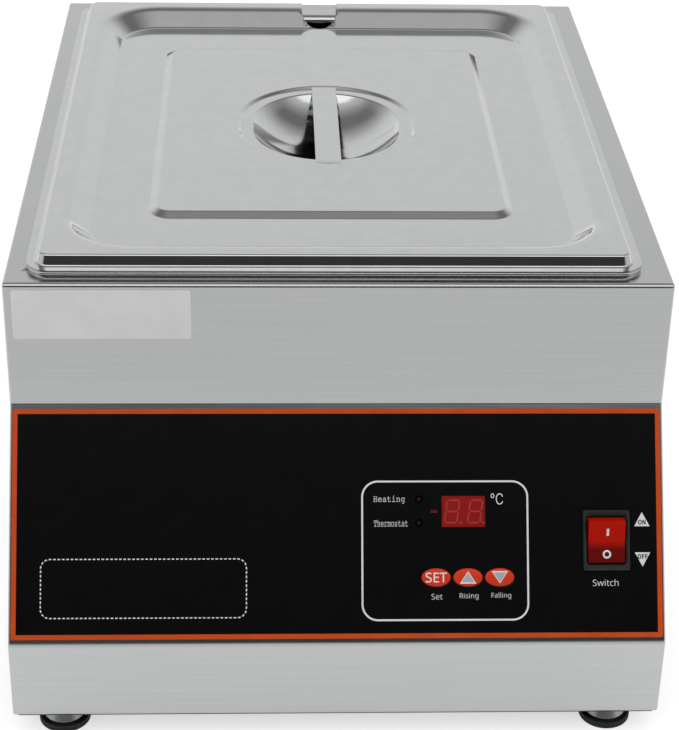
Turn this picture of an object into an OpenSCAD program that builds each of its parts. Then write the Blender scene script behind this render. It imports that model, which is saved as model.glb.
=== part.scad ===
// Electric chocolate melting pot: a dry-heat melter with a lift-out food pan, a pressed lid and a sloping control face.
// Millimetres. Z is up and the front faces -Y. The origin is the bottom centre of the whole object.

/* [Case] */
// Width of the case
case_w = 286; // [280:1:300]
// Depth of the flat top, from the upper front face to the rear
top_depth = 347; // [345:1:365]
// Height of the upright upper front face
upper_face_h = 58.5; // [50:0.5:66]
// Drop of the sloping control face
slope_drop = 86.5; // [84:0.5:96]
// How far the control face comes forward
slope_run = 59; // [50:0.5:68]
// Height of the upright lower front face
lower_face_h = 39; // [34:0.5:60]
// Thickness of the stainless sheet
sheet_t = 1; // [0.8:0.1:1.2]
// Outside radius of the top and bottom bends
edge_bend_r = 2; // [1.5:0.1:2.5]
// Outside radius of the bend under the control face
knee_bend_r = 6; // [4:0.5:7]
// Radius of the hollow bend above the control face
crease_bend_r = 1.2; // [0.8:0.1:1.6]
// Height of the lip that the top folds down at the rear
rear_lip_h = 14; // [12:1:18]
// Width of the flanges that the side sheets turn in at the bottom and the rear
flange_w = 12; // [11:0.5:13]
// Width of the front sheet's return under the case
return_w = 7; // [6:0.5:7.5]

/* [Pan] */
// Distance from the case's side to the pan's rim, at the middle of the loose seat
pan_side_margin = 10.5; // [10:0.1:12]
// Distance from the pan's rim to the rear
pan_rear_margin = 15; // [14:0.5:18]
// Depth of the pan below its rim
pan_depth = 100; // [90:1:101]
// Thickness of the pan's sheet
pan_t = 0.8; // [0.6:0.1:1]
// Width of the rim that rests on the case
pan_rim_w = 12.5; // [12:0.1:13]
// Height of the rim above the case
pan_rim_h = 2.2; // [2:0.1:2.6]
// Corner radius of the rim
rim_corner_r = 10.5; // [9:0.5:12]
// Corner radius of the pan's inside
pan_corner_r = 27; // [24:1:30]
// Radius between the pan's wall and its floor
pan_floor_r = 14; // [10:1:16]
// How far the wall leans in over the depth
pan_draft = 4; // [3:0.5:6]
// Radius of the rim's turned-down edge
rim_edge_r = 1.6; // [1.3:0.1:1.8]
// Radius at the mouth of the pan
mouth_r = 4; // [3:0.5:5]
// Distance from the upper front face to the rim
pan_front_margin = 7; // [5:0.5:8]
// How far the pan lies off centre in its loose seat
pan_offset_x = -1.6; // [-1.8:0.1:0]
// Gap between the pan's wall and the well
well_clearance = 2.5; // [2.2:0.1:3]

/* [Lid] */
// Thickness of the lid's sheet
lid_t = 0.8; // [0.6:0.1:1]
// Width of the lid's outer flange
lid_flange_w = 3.8; // [3.4:0.1:4.4]
// Height of the upright lip above the flange
lid_lip_h = 4.8; // [4:0.1:5.4]
// Corner radius of the lid's flange
lid_corner_r = 10; // [9:0.5:12]
// Radius of the lip's two bends
lip_bend_r = 1.2; // [1.1:0.1:1.4]
// Distance from the flange's edge to the recess
recess_inset = 11.7; // [11:0.1:13]
// Corner radius at the top of the recess
recess_corner_r = 33; // [30:1:36]
// Width that the recess wall takes
recess_run = 14.3; // [13:0.1:15]
// Depth of the recess
recess_depth = 8.2; // [7:0.1:9]
// Radius at the top of the recess wall
shoulder_r = 8; // [6:0.5:9]
// Radius at the foot of the recess wall
recess_foot_r = 3; // [2:0.5:4]
// Distance from the flange's side edge to the raised plateau
plateau_inset_x = 49.5; // [47:0.5:52]
// Distance from the flange's end edge to the raised plateau
plateau_inset_y = 57.8; // [54:0.5:60]
// Height of the plateau above the recess floor
plateau_h = 2.2; // [1.5:0.1:2.6]
// Width that the plateau's sloping edge takes
plateau_run = 3.8; // [3.2:0.1:4.6]
// Corner radius at the plateau's foot
plateau_corner_r = 10; // [9:0.5:12]
// Radius of the plateau's bends
plateau_bend_r = 2; // [1.4:0.1:2.4]
// Outer radius of the shallow dish round the handle well
dish_r = 43.6; // [42:0.2:45]
// Drop of the shallow dish
dish_drop = 1.2; // [1:0.1:1.6]
// Width of the dish's sloping step
dish_step = 1.6; // [1.4:0.1:2]
// Radius of the handle well's mouth
bowl_r = 36.4; // [35:0.2:38]
// Depth of the handle well below its mouth
bowl_depth = 17; // [14:0.5:18]
// Length that the handle well is longer than it is wide
bowl_stretch = 10.4; // [8:0.2:12]
// Slope of the handle well's wall in degrees
bowl_wall_angle = 56; // [50:1:58]
// Radius of the handle well's dished floor
bowl_floor_r = 36; // [30:1:37]
// Radius of the handle well's edge
bowl_edge_r = 1.6; // [1.2:0.1:2]
// Width of the handle strap
strap_w = 12.3; // [11:0.1:14]
// Thickness of the handle strap
strap_t = 1.2; // [1:0.1:1.6]
// Width of the ladle notch
notch_w = 19.3; // [17:0.1:21]
// Depth of the ladle notch from the lid's rear edge
notch_l = 25; // [23:0.2:26]

/* [Control face] */
// Distance from the case's side to the printed film
overlay_margin = 1.25; // [1:0.05:6]
// Height of the printed film along the slope
overlay_l = 100; // [98:0.5:101]
// Distance from the crease to the printed film
overlay_top = 2.4; // [2:0.1:2.8]
// Thickness of the printed film
overlay_t = 0.4; // [0.3:0.05:0.5]
// Width of the display window
window_w = 19.9; // [19:0.1:22]
// Height of the display window
window_l = 14.4; // [13.5:0.1:16]
// Place of the display window to the right of the centre
window_x = 54.7; // [52:0.1:56]
// Distance from the crease to the display window's centre
window_down = 47.4; // [46:0.1:49]
// Width of an oval key
key_w = 13.1; // [12:0.1:13.2]
// Height of an oval key
key_l = 8.1; // [7.4:0.1:9]
// Distance between the keys' centres
key_pitch = 13.9; // [13.8:0.1:14.6]
// Place of the middle key to the right of the centre
key_x = 56.5; // [55:0.1:57]
// Distance from the crease to the keys' centres
key_down = 76.1; // [74:0.1:77]
// Height of a key above the film
key_rise = 0.8; // [0.7:0.1:1]
// Travel of a key
key_travel = 0.4; // [0.3:0.05:0.45]
// Radius of an indicator lamp
led_r = 1.5; // [1.4:0.1:1.6]
// Place of the heating and thermostat lamps to the right of the centre
led_x = 35.3; // [34:0.1:36]
// Distance from the crease to the heating lamp
led_down = 42.2; // [41:0.1:43]
// Distance between the heating and thermostat lamps
led_pitch = 10.2; // [9.5:0.1:10.4]
// Place of the minus lamp to the right of the centre
minus_x = 41.8; // [41:0.1:42]
// Width of the minus lamp
minus_w = 3.2; // [2.8:0.1:3.4]
// Height of the minus lamp
minus_l = 1.4; // [1:0.1:1.8]

/* [Rocker switch] */
// Distance from the case's side to the switch's centre
switch_inset = 25.8; // [25:0.1:29]
// Distance from the crease to the switch's centre
switch_down = 60.2; // [56:0.1:64]
// Width of the bezel
bezel_w = 20.5; // [20:0.1:21.5]
// Height of the bezel along the slope
bezel_l = 26.4; // [26:0.1:28]
// Thickness of the bezel
bezel_t = 2; // [1.6:0.1:2.4]
// Width of the rocker
rocker_w = 16.2; // [15.6:0.1:16.4]
// Radius of the rocker's round ends about its pivot
rocker_r = 10.3; // [9.8:0.1:10.4]
// Angle that the rocker tips between off and on, in degrees
rocker_swing = 20; // [16:1:20]
// Height of the rocker's faces above its pivot
rocker_h = 3.9; // [3.6:0.1:4.2]
// Depth of the rocker below its pivot
rocker_skirt = 4; // [3:0.1:4.2]
// Depth of the pivot below the case's surface
pivot_depth = 1.6; // [1.4:0.1:1.8]
// Radius of the rocker's pins
pivot_r = 1.5; // [1.2:0.1:1.6]
// Depth of the switch body behind the control face
switch_body_h = 25; // [22:0.5:27]

/* [Feet] */
// Radius of the rubber pad
pad_r = 11.4; // [10:0.1:11.8]
// Height of the rubber pad
pad_h = 3.5; // [3:0.1:4.5]
// Radius of the metal cup's brim
cup_r = 9.3; // [8.6:0.1:9.6]
// Radius at the top of the cup
cup_top_r = 6.5; // [6:0.1:7]
// Height of the metal cup
cup_h = 6; // [5:0.1:8]
// Distance from the case's side to a foot's centre
foot_side_inset = 21.5; // [20:0.5:26]
// Distance from the front or the rear to a foot's centre
foot_end_inset = 12.6; // [12.4:0.1:14]

/* [Well and heater] */
// Thickness of the aluminium well
well_t = 1.5; // [1.2:0.1:2]
// Gap under the pan's floor
well_floor_gap = 1.5; // [1:0.1:2]
// Thickness of the heating mat
mat_t = 2.5; // [2:0.1:3]
// Thickness of the plate that clamps the mat
clamp_t = 1.5; // [1.2:0.1:2]
// Thickness of the glass-fibre blanket round the well
blanket_t = 10; // [8:0.2:10.2]
// Thickness of the blanket under the well
blanket_floor_t = 12; // [10:0.5:14]
// Thickness of the blanket's steel jacket
jacket_t = 0.6; // [0.5:0.1:0.8]

/* [Rear] */
// Radius of the cord hole in the gland
cord_bore_r = 4; // [3.5:0.1:4.5]
// Distance from the case's right side, seen from the front, to the gland's centre
gland_inset = 51; // [43:1:63]
// Height of the gland above the case's bottom
gland_up = 34; // [30:1:40]
// Radius of the gland's thread
gland_thread_r = 7.8; // [7.4:0.1:8.2]
// Height of the gland's outer hexagon
gland_hex_h = 5; // [4:0.1:6]
// Length of the gland's cap
gland_cap_h = 10; // [9:0.5:13]
// Length of a vent slot
vent_l = 36; // [30:1:40]
// Width of a vent slot
vent_w = 4; // [3:0.5:5]
// Distance between vent slots
vent_pitch = 11; // [9:0.5:12]
// Slots in a row of vents
vent_count = 7; // [5:1:9]

/* [Hidden] */
$fn = 48;

// How far a cut runs past what it cuts
over = 1;
// Straight pieces in a bend
bend_steps = 6;

// Levels and places of the case
foot_h = pad_h + cup_h;
case_bottom = foot_h + sheet_t;
knee_z = case_bottom + lower_face_h;
crease_z = knee_z + slope_drop;
case_top = crease_z + upper_face_h;
slope_angle = atan2(slope_run, slope_drop);
slope_l = norm([slope_run, slope_drop]);
case_depth = top_depth + slope_run;
gland_reach = gland_hex_h + gland_cap_h - sheet_t;
front_y = -(case_depth + gland_reach) / 2;
rear_y = front_y + case_depth;
upper_y = front_y + slope_run;
inner_half_w = case_w / 2 - sheet_t;
overlay_w = case_w - 2 * overlay_margin;
switch_x = case_w / 2 - switch_inset;
gland_x = case_w / 2 - gland_inset;
lip_z = case_top - rear_lip_h;
panel_y = rear_y - sheet_t;

// Screws and studs
screw_r = 1.5;
screw_head_r = 2.9;
screw_head_h = 1.7;
screw_l = 5;
screw_clearance = 0.15;
screw_edge = flange_w / 2 + sheet_t;

// The pan and the well it hangs in
pan_w = case_w - 2 * pan_side_margin;
pan_l = top_depth - pan_front_margin - pan_rear_margin;
pan_y = upper_y + pan_front_margin + pan_l / 2;
body_w = pan_w - 2 * pan_rim_w;
body_l = pan_l - 2 * pan_rim_w;
rim_z = case_top + pan_rim_h;
pan_floor_z = rim_z - pan_depth;
well_w = body_w + 2 * (pan_t + well_clearance);
well_l = body_l + 2 * (pan_t + well_clearance);
well_corner_r = pan_corner_r + pan_t + well_clearance;
well_flange_z = case_top - sheet_t;
well_floor_z = pan_floor_z - pan_t - well_floor_gap;
well_bottom_z = well_floor_z - well_t;
well_mouth_r = 3;
well_floor_r = 8;
well_out_w = well_w + 2 * well_t;
well_out_l = well_l + 2 * well_t;
well_out_corner_r = well_corner_r + well_t;

// Heater under the well
mat_bottom_z = well_bottom_z - mat_t;
clamp_bottom_z = mat_bottom_z - clamp_t;
mat_side_margin = 20;
mat_end_margin = 25;
mat_w = body_w - 2 * mat_side_margin;
mat_l = body_l - 2 * mat_end_margin;
mat_tail = 14;
mat_corner_r = 12;
clamp_inset = 6;
stud_r = 2;
stud_l = 9;
stud_inset = 20;
nut_r = 4;
nut_h = 3.2;
nut_gap_r = 0.1;
heater_nut_z = clamp_bottom_z - nut_h;

// Blanket and jacket
blanket_w = well_out_w + 2 * blanket_t;
blanket_l = well_out_l + 2 * blanket_t;
blanket_corner_r = well_out_corner_r + blanket_t;
blanket_top_z = well_flange_z - well_mouth_r;
blanket_floor_z = heater_nut_z;
blanket_bottom_z = blanket_floor_z - blanket_floor_t;
jacket_w = blanket_w + 2 * jacket_t;
jacket_l = blanket_l + 2 * jacket_t;
jacket_corner_r = blanket_corner_r + jacket_t;
jacket_flange_w = 2.2;
hatch_w = 90;
hatch_l = 70;
hatch_y = pan_y - mat_l / 2 + hatch_l / 2 - mat_tail;

// Lid levels and outlines
flange_z = rim_z + lid_t;
plate_z = flange_z + lid_lip_h;
recess_z = plate_z - recess_depth;
plateau_z = recess_z + plateau_h;
recess_w = pan_w - 2 * recess_inset;
recess_l = pan_l - 2 * recess_inset;
floor_corner_r = recess_corner_r - recess_run;
plateau_w = pan_w - 2 * plateau_inset_x;
plateau_l = pan_l - 2 * plateau_inset_y;
dish_z = plateau_z - dish_drop;
bowl_z = dish_z - bowl_depth;
strap_l = 2 * (dish_r - dish_step) + bowl_stretch;

// The stack behind the control face, measured out from the case's surface
window_t = 1.2;
window_edge = 0.4;
cut_gap = 0.3;
module_h = 8;
module_gap = 0.2;
board_face = -(sheet_t + module_gap + module_h);
board_t = 1.6;
board_back = board_face - board_t;
board_w = 72;
board_l = 58;
board_x = 46.5;
board_down = 66;
board_edge = 4;
standoff_r = 2.8;
board_stud_r = 1.5;
board_nut_r = 3;
board_nut_h = 2.4;
board_stud_l = 3;
key_flange = 0.9;
key_flange_t = 1;
key_gap = 0.3;
key_crown_r = 26;
key_foot = -(sheet_t + module_gap + key_flange_t);
tact_w = 6;
tact_body_h = 3.5;
tact_button_r = 1.75;
tact_gap = 0.5;
led_recess = 0.4;
transformer_w = 26;
transformer_l = 22;
transformer_h = 20;
coil_w = 16;
coil_bulge = 3;
relay_w = 19;
relay_l = 15.5;
relay_h = 15.2;
connector_w = 20;
connector_l = 8;
connector_h = 10;

// Rocker switch
body_play = 0.3;
bezel_lip = 0.9;
switch_body_w = bezel_w - 2 * bezel_lip;
switch_body_l = bezel_l - 2 * bezel_lip;
rocker_side_gap = 0.35;
rocker_end_gap = 0.3;
well_in_w = rocker_w + 2 * rocker_side_gap;
well_in_l = 2 * (rocker_r + rocker_end_gap);
rocker_well_depth = pivot_depth + rocker_skirt + rocker_r * sin(rocker_swing / 2) + rocker_end_gap;
pivot_gap = 0.05;
pivot_l = 0.9;
bezel_corner_r = 1;
blade_w = 6.3;
blade_t = 0.8;
blade_l = 8;
blade_pitch_share = 0.5;

// Rear and base
gland_hex_r = 11;
gland_cap_r = 9.4;
gland_tip_r = 6.6;
gland_thread_l = 9;
gland_nut_h = 4;
gland_play = 0.1;
gland_z = case_bottom + gland_up;
panel_gap = 0.3;
block_w = 34;
block_l = 18;
block_h = 16;
block_step_h = 8;
block_pole_r = 3;
earth_r = 3;
earth_l = 18;
earth_nut_r = 5.5;
earth_nut_h = 5;
earth_place_x = 60;
rear_parts_in = 46;

// Feet and labels
foot_bolt_r = 2.5;
foot_bolt_head_r = 4.5;
foot_bolt_head_h = 2;
foot_nut_r = 4.6;
foot_nut_h = 4;
pad_recess_r = 6;
pad_recess_h = 2.5;
pad_round = 0.8;
cup_round = 1.2;
foot_play = 0.15;
foot_x = case_w / 2 - foot_side_inset;
foot_front_y = front_y + foot_end_inset;
foot_rear_y = rear_y - foot_end_inset;
label_w = 76;
label_l = 23.5;
label_t = 0.2;
label_inset = 3.5;
label_x = label_inset + (label_w - case_w) / 2;
label_down = 14.5;
label_corner_r = 1;

// A direction of length one, and the direction to its left
function unit(v) = v / norm(v);
function left_of(v) = [-v[1], v[0]];
function turn(u, w) = atan2(cross(u, w), u * w);

// The arc that rounds one corner of a line, moved sideways by shift
function corner_arc(before, at, after, r, shift) =
    let (
        u = unit(at - before),
        w = unit(after - at),
        angle = turn(u, w),
        side = angle < 0 ? -1 : 1,
        middle = at - u * r * tan(abs(angle) / 2) + left_of(u) * side * r,
        out = -left_of(u) * side,
        start = atan2(out[1], out[0])
    )
    [for (i = [0:bend_steps])
        let (a = start + angle * i / bend_steps)
        middle + (r - side * shift) * [cos(a), sin(a)]];

// A line with rounded corners, moved to its left by shift, as a bent sheet's face is
function bent_line(points, radii, shift) =
    let (last = len(points) - 1)
    concat(
        [points[0] + left_of(unit(points[1] - points[0])) * shift],
        [for (i = [1:last - 1])
            each corner_arc(points[i - 1], points[i], points[i + 1], radii[i - 1], shift)],
        [points[last] + left_of(unit(points[last] - points[last - 1])) * shift]
    );
function reversed(list) = [for (i = [len(list) - 1:-1:0]) list[i]];

// The section of a bent sheet of thickness t
module sheet_section(points, radii, t) {
    polygon(concat(bent_line(points, radii, 0), reversed(bent_line(points, radii, t))));
}

// Sweeps a section round a rectangle with round corners. The section's zero lies on the outline
module around(size_x, size_y, corner_r) {
    for (i = [0:3]) {
        across = i % 2 == 0 ? size_x : size_y;
        along = i % 2 == 0 ? size_y : size_x;
        rotate([0, 0, 90 * i])
            translate([across / 2 - corner_r, 0, 0]) {
                rotate([90, 0, 0])
                    linear_extrude(along - 2 * corner_r, center = true)
                        translate([corner_r, 0]) children();
                translate([0, along / 2 - corner_r, 0])
                    rotate_extrude(angle = 90)
                        translate([corner_r, 0]) children();
            }
    }
}

module round_rect(size_x, size_y, corner_r) {
    square([size_x, size_y - 2 * corner_r], center = true);
    square([size_x - 2 * corner_r, size_y], center = true);
    for (sx = [-1, 1], sy = [-1, 1])
        translate([sx * (size_x / 2 - corner_r), sy * (size_y / 2 - corner_r)])
            circle(corner_r);
}

// A block with round upright edges from one level to another
module round_block(size_x, size_y, corner_r, from_z, to_z) {
    translate([0, 0, from_z])
        linear_extrude(to_z - from_z)
            round_rect(size_x, size_y, corner_r);
}

// A slot with round ends along X
module slot(size_x, size_y) {
    square([size_x - size_y, size_y], center = true);
    for (s = [-1, 1])
        translate([s * (size_x - size_y) / 2, 0])
            circle(size_y / 2);
}

// Places children on the control face: X across, Y up the slope, Z out of the case
module on_slope(x, down) {
    translate([x, upper_y, crease_z])
        rotate([90 - slope_angle, 0, 0])
            translate([0, -down, 0])
                children();
}

// Draws a section of Y and Z through the width of the case
module across_case(w) {
    rotate([90, 0, 90])
        linear_extrude(w, center = true)
            children();
}

// Points along Y with the case's front or rear face as their plane, Z of the children pointing back
module facing_back(x, y, z) {
    translate([x, y, z])
        rotate([-90, 0, 0])
            children();
}

// The outline of the folded sheet, from the rear lip over the top and down the front
wrap_points = [
    [rear_y, lip_z],
    [rear_y, case_top],
    [upper_y, case_top],
    [upper_y, crease_z],
    [front_y, knee_z],
    [front_y, case_bottom],
    [front_y + return_w, case_bottom]
];
wrap_radii = [edge_bend_r, edge_bend_r, crease_bend_r, knee_bend_r, edge_bend_r];

// Places of the screws
base_screw_places = [
    for (sx = [-1, 1], share = [0.25, 0.5, 0.75])
        [sx * (case_w / 2 - screw_edge), front_y + share * case_depth]
];
rear_screw_places = concat(
    [for (sx = [-1, 1], share = [0.2, 0.7])
        [sx * (case_w / 2 - screw_edge), case_bottom + share * (lip_z - case_bottom)]],
    [for (sx = [-1, 1]) [sx * case_w / 4, case_top - rear_lip_h / 2]]
);
foot_places = [
    [-foot_x, foot_front_y],
    [foot_x, foot_front_y],
    [-foot_x, foot_rear_y],
    [foot_x, foot_rear_y]
];
heater_stud_places = [
    for (sx = [-1, 1], sy = [-1, 1])
        [sx * (mat_w / 2 - stud_inset), pan_y + sy * (mat_l / 2 - stud_inset)]
];
board_stud_places = [
    for (sx = [-1, 1], sy = [-1, 1])
        [sx * (board_w / 2 - board_edge), sy * (board_l / 2 - board_edge)]
];

// The oval of a key, grown by gap
module key_oval(gap) {
    polygon([for (a = [0:15:345]) [(key_w / 2 + gap) * cos(a), (key_l / 2 + gap) * sin(a)]]);
}

// The holes through the control face
module control_holes(gap) {
    on_slope(window_x, window_down)
        cube([window_w + 2 * gap, window_l + 2 * gap, 4 * over], center = true);
    for (i = [-1:1])
        on_slope(key_x + i * key_pitch, key_down)
            linear_extrude(4 * over, center = true)
                key_oval(key_gap);
    for (i = [0, 1])
        on_slope(led_x, led_down + i * led_pitch)
            cylinder(r = led_r + cut_gap, h = 4 * over, center = true);
    on_slope(minus_x, window_down)
        cube([minus_w + 2 * cut_gap, minus_l + 2 * cut_gap, 4 * over], center = true);
    on_slope(switch_x, switch_down)
        cube([switch_body_w + 2 * body_play, switch_body_l + 2 * body_play, 4 * over], center = true);
}

module body_wrap() {
    color("silver")
        difference() {
            across_case(case_w)
                sheet_section(wrap_points, wrap_radii, sheet_t);
            translate([0, pan_y, 0])
                round_block(well_w, well_l, well_corner_r, well_flange_z - over, case_top + over);
            control_holes(0);
            for (p = rear_screw_places)
                if (p[1] > lip_z)
                    facing_back(p[0], rear_y, p[1])
                        cylinder(r = screw_r + screw_clearance, h = 4 * over, center = true);
        }
}

// One side sheet with its bottom and rear flanges, drawn for the side at +X
module side_panel() {
    inner_line = bent_line(wrap_points, wrap_radii, sheet_t);
    sheet_outline = concat(
        inner_line,
        [[front_y + return_w, case_bottom], [rear_y, case_bottom], [rear_y, lip_z]]
    );
    difference() {
        union() {
            translate([inner_half_w + sheet_t / 2, 0, 0])
                across_case(sheet_t)
                    polygon(sheet_outline);
            translate([inner_half_w - flange_w, front_y + return_w, case_bottom])
                cube([flange_w, panel_y - sheet_t - panel_gap - front_y - return_w, sheet_t]);
            translate([inner_half_w - flange_w, panel_y, case_bottom])
                cube([flange_w, sheet_t, lip_z - case_bottom]);
        }
        for (p = base_screw_places)
            if (p[0] > 0)
                translate([p[0], p[1], case_bottom])
                    cylinder(r = screw_r + screw_clearance, h = 4 * over, center = true);
        for (p = rear_screw_places)
            if (p[0] > 0 && p[1] < lip_z)
                facing_back(p[0], rear_y, p[1])
                    cylinder(r = screw_r + screw_clearance, h = 4 * over, center = true);
    }
}

module side_panel_right() {
    color("silver") side_panel();
}

module side_panel_left() {
    color("silver") mirror([1, 0, 0]) side_panel();
}

// A row of upright or lengthwise vent slots about the middle
module vent_row(count) {
    for (i = [0:count - 1])
        translate([(i - (count - 1) / 2) * vent_pitch, 0])
            rotate(90)
                slot(vent_l, vent_w);
}

module rear_panel() {
    panel_w = case_w - 2 * (sheet_t + panel_gap);
    panel_top = case_top - edge_bend_r - panel_gap;
    color("silver")
        difference() {
            translate([-panel_w / 2, panel_y - sheet_t, case_bottom])
                cube([panel_w, sheet_t, panel_top - case_bottom]);
            facing_back(gland_x, panel_y, gland_z)
                cylinder(r = gland_thread_r + gland_play, h = 4 * over, center = true);
            facing_back(0, panel_y, gland_z)
                linear_extrude(4 * over, center = true)
                    vent_row(vent_count);
            for (p = rear_screw_places)
                facing_back(p[0], panel_y, p[1])
                    cylinder(r = screw_r + screw_clearance, h = 4 * over, center = true);
        }
}

module base_plate() {
    base_w = case_w - 2 * edge_bend_r;
    base_l = case_depth - edge_bend_r - sheet_t;
    color("silver")
        translate([0, 0, foot_h])
            difference() {
                translate([-base_w / 2, front_y + edge_bend_r, 0])
                    cube([base_w, base_l, sheet_t]);
                for (sy = [-1, 1])
                    translate([0, (front_y + rear_y) / 2 + sy * case_depth / 4, 0])
                        linear_extrude(4 * over, center = true)
                            vent_row(vent_count);
                for (p = base_screw_places)
                    translate([p[0], p[1], 0])
                        cylinder(r = screw_r + screw_clearance, h = 4 * over, center = true);
                for (p = foot_places)
                    translate([p[0], p[1], 0])
                        cylinder(r = foot_bolt_r + foot_play, h = 4 * over, center = true);
                translate([earth_place_x, rear_y - rear_parts_in, 0])
                    cylinder(r = earth_r + foot_play, h = 4 * over, center = true);
            }
}

module note_label() {
    color("whitesmoke")
        facing_back(label_x, upper_y - label_t, case_top - label_down)
            linear_extrude(label_t)
                round_rect(label_w, label_l, label_corner_r);
}

// The pan: the rim's turned-down edge, its flat, and the leaning wall with its round foot
module pan() {
    edge_points = [
        [0, case_top],
        [0, rim_z],
        [-rim_corner_r, rim_z]
    ];
    body_points = [
        [mouth_r + over, rim_z],
        [0, rim_z],
        [-pan_draft, pan_floor_z],
        [-pan_corner_r, pan_floor_z]
    ];
    color("lightgray")
        translate([pan_offset_x, pan_y, 0]) {
            around(pan_w, pan_l, rim_corner_r)
                sheet_section(edge_points, [rim_edge_r], pan_t);
            difference() {
                translate([0, 0, rim_z - pan_t / 2])
                    cube([pan_w - 2 * rim_corner_r, pan_l - 2 * rim_corner_r, pan_t], center = true);
                round_block(
                    body_w + 2 * mouth_r, body_l + 2 * mouth_r, pan_corner_r + mouth_r,
                    rim_z - pan_t - over, rim_z + over
                );
            }
            around(body_w, body_l, pan_corner_r)
                sheet_section(body_points, [mouth_r, pan_floor_r], pan_t);
            translate([0, 0, pan_floor_z - pan_t / 2])
                cube([body_w - 2 * pan_corner_r, body_l - 2 * pan_corner_r, pan_t], center = true);
        }
}

// The lid is one pressed sheet. Each step is a section swept round its own outline, and flats join the steps
module lid_shell() {
    lip_points = [
        [0, flange_z],
        [-lid_flange_w, flange_z],
        [-lid_flange_w, plate_z],
        [-lid_corner_r, plate_z]
    ];
    wall_angle = atan2(recess_depth, recess_run - shoulder_r * tan(20) - recess_foot_r * tan(20));
    shoulder_in = shoulder_r * tan(wall_angle / 2);
    foot_in = recess_run - recess_foot_r * tan(wall_angle / 2);
    recess_points = [
        [over, plate_z],
        [-shoulder_in, plate_z],
        [-foot_in, recess_z],
        [-recess_corner_r, recess_z]
    ];
    plateau_points = [
        [over, recess_z],
        [0, recess_z],
        [-plateau_run, plateau_z],
        [-plateau_corner_r, plateau_z]
    ];
    color("gainsboro")
        translate([pan_offset_x, pan_y, 0])
            difference() {
                union() {
                    around(pan_w, pan_l, lid_corner_r)
                        sheet_section(lip_points, [lip_bend_r, lip_bend_r], lid_t);
                    difference() {
                        translate([0, 0, plate_z - lid_t / 2])
                            cube([pan_w - 2 * lid_corner_r, pan_l - 2 * lid_corner_r, lid_t], center = true);
                        round_block(recess_w, recess_l, recess_corner_r, plate_z - lid_t - over, plate_z + over);
                    }
                    around(recess_w, recess_l, recess_corner_r)
                        sheet_section(recess_points, [shoulder_r, recess_foot_r], lid_t);
                    difference() {
                        translate([0, 0, recess_z - lid_t / 2])
                            cube([recess_w - 2 * recess_corner_r, recess_l - 2 * recess_corner_r, lid_t], center = true);
                        round_block(plateau_w, plateau_l, plateau_corner_r, recess_z - lid_t - over, recess_z + over);
                    }
                    around(plateau_w, plateau_l, plateau_corner_r)
                        sheet_section(plateau_points, [plateau_bend_r, plateau_bend_r], lid_t);
                    difference() {
                        translate([0, 0, plateau_z - lid_t / 2])
                            cube([plateau_w - 2 * plateau_corner_r, plateau_l - 2 * plateau_corner_r, lid_t], center = true);
                        linear_extrude(3 * case_top, center = true)
                            long_round(dish_r);
                    }
                    handle_well();
                }
                translate([0, pan_l / 2 + notch_w / 2 - notch_l, recess_z - lid_t - over]) {
                    cylinder(r = notch_w / 2, h = plate_z - recess_z + lid_t + 2 * over);
                    translate([-notch_w / 2, 0, 0])
                        cube([notch_w, notch_l, plate_z - recess_z + lid_t + 2 * over]);
                }
            }
}

// A circle stretched front to back by the handle well's extra length
module long_round(r) {
    square([2 * r, bowl_stretch], center = true);
    for (s = [-1, 1])
        translate([0, s * bowl_stretch / 2])
            circle(r);
}

// The shallow dish and the round well under the handle strap
module handle_well() {
    wall_in = bowl_depth / tan(bowl_wall_angle);
    well_points = [
        [dish_r + over, plateau_z],
        [dish_r, plateau_z],
        [dish_r - dish_step, dish_z],
        [bowl_r, dish_z],
        [bowl_r - wall_in, bowl_z],
        [0, bowl_z]
    ];
    radii = [dish_drop, dish_drop, bowl_edge_r, bowl_floor_r];
    for (s = [0, 1])
        rotate([0, 0, 180 * s])
            translate([0, bowl_stretch / 2, 0])
                rotate_extrude(angle = 180)
                    sheet_section(well_points, radii, lid_t);
    for (s = [0, 1])
        rotate([90, 0, 180 * s])
            linear_extrude(bowl_stretch, center = true)
                sheet_section(well_points, radii, lid_t);
}

// A flat bar across the well, seated in the dish, with its top edges rounded at both ends
module lid_handle() {
    half = strap_l / 2;
    top = dish_z + strap_t;
    color("gainsboro")
        translate([pan_offset_x, pan_y, 0])
            across_case(strap_w)
                polygon(concat(
                    [[-half, dish_z], [half, dish_z]],
                    corner_arc([half, dish_z], [half, top], [-half, top], strap_t / 2, 0),
                    corner_arc([half, top], [-half, top], [-half, dish_z], strap_t / 2, 0)
                ));
}

// The aluminium well that hangs under the top plate, with the studs that carry the heater
module heater_box() {
    well_points = [
        [blanket_t + well_t, well_flange_z],
        [0, well_flange_z],
        [0, well_floor_z],
        [-well_corner_r, well_floor_z]
    ];
    color("darkgray") {
        translate([0, pan_y, 0]) {
            around(well_w, well_l, well_corner_r)
                sheet_section(well_points, [well_mouth_r, well_floor_r], well_t);
            translate([0, 0, well_floor_z - well_t / 2])
                cube([well_w - 2 * well_corner_r, well_l - 2 * well_corner_r, well_t], center = true);
        }
        for (p = heater_stud_places)
            translate([p[0], p[1], well_bottom_z - stud_l])
                cylinder(r = stud_r, h = stud_l);
    }
}

module stud_holes(from_z, to_z) {
    for (p = heater_stud_places)
        translate([p[0], p[1], from_z - over])
            cylinder(r = stud_r + nut_gap_r, h = to_z - from_z + 2 * over);
}

module heating_mat() {
    color("peru")
        difference() {
            translate([0, pan_y, 0]) {
                round_block(mat_w, mat_l, mat_corner_r, mat_bottom_z, well_bottom_z);
                translate([-hatch_w / 4, -mat_l / 2 - mat_tail, mat_bottom_z])
                    cube([hatch_w / 2, 2 * mat_tail, mat_t]);
            }
            stud_holes(mat_bottom_z, well_bottom_z);
        }
}

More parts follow.
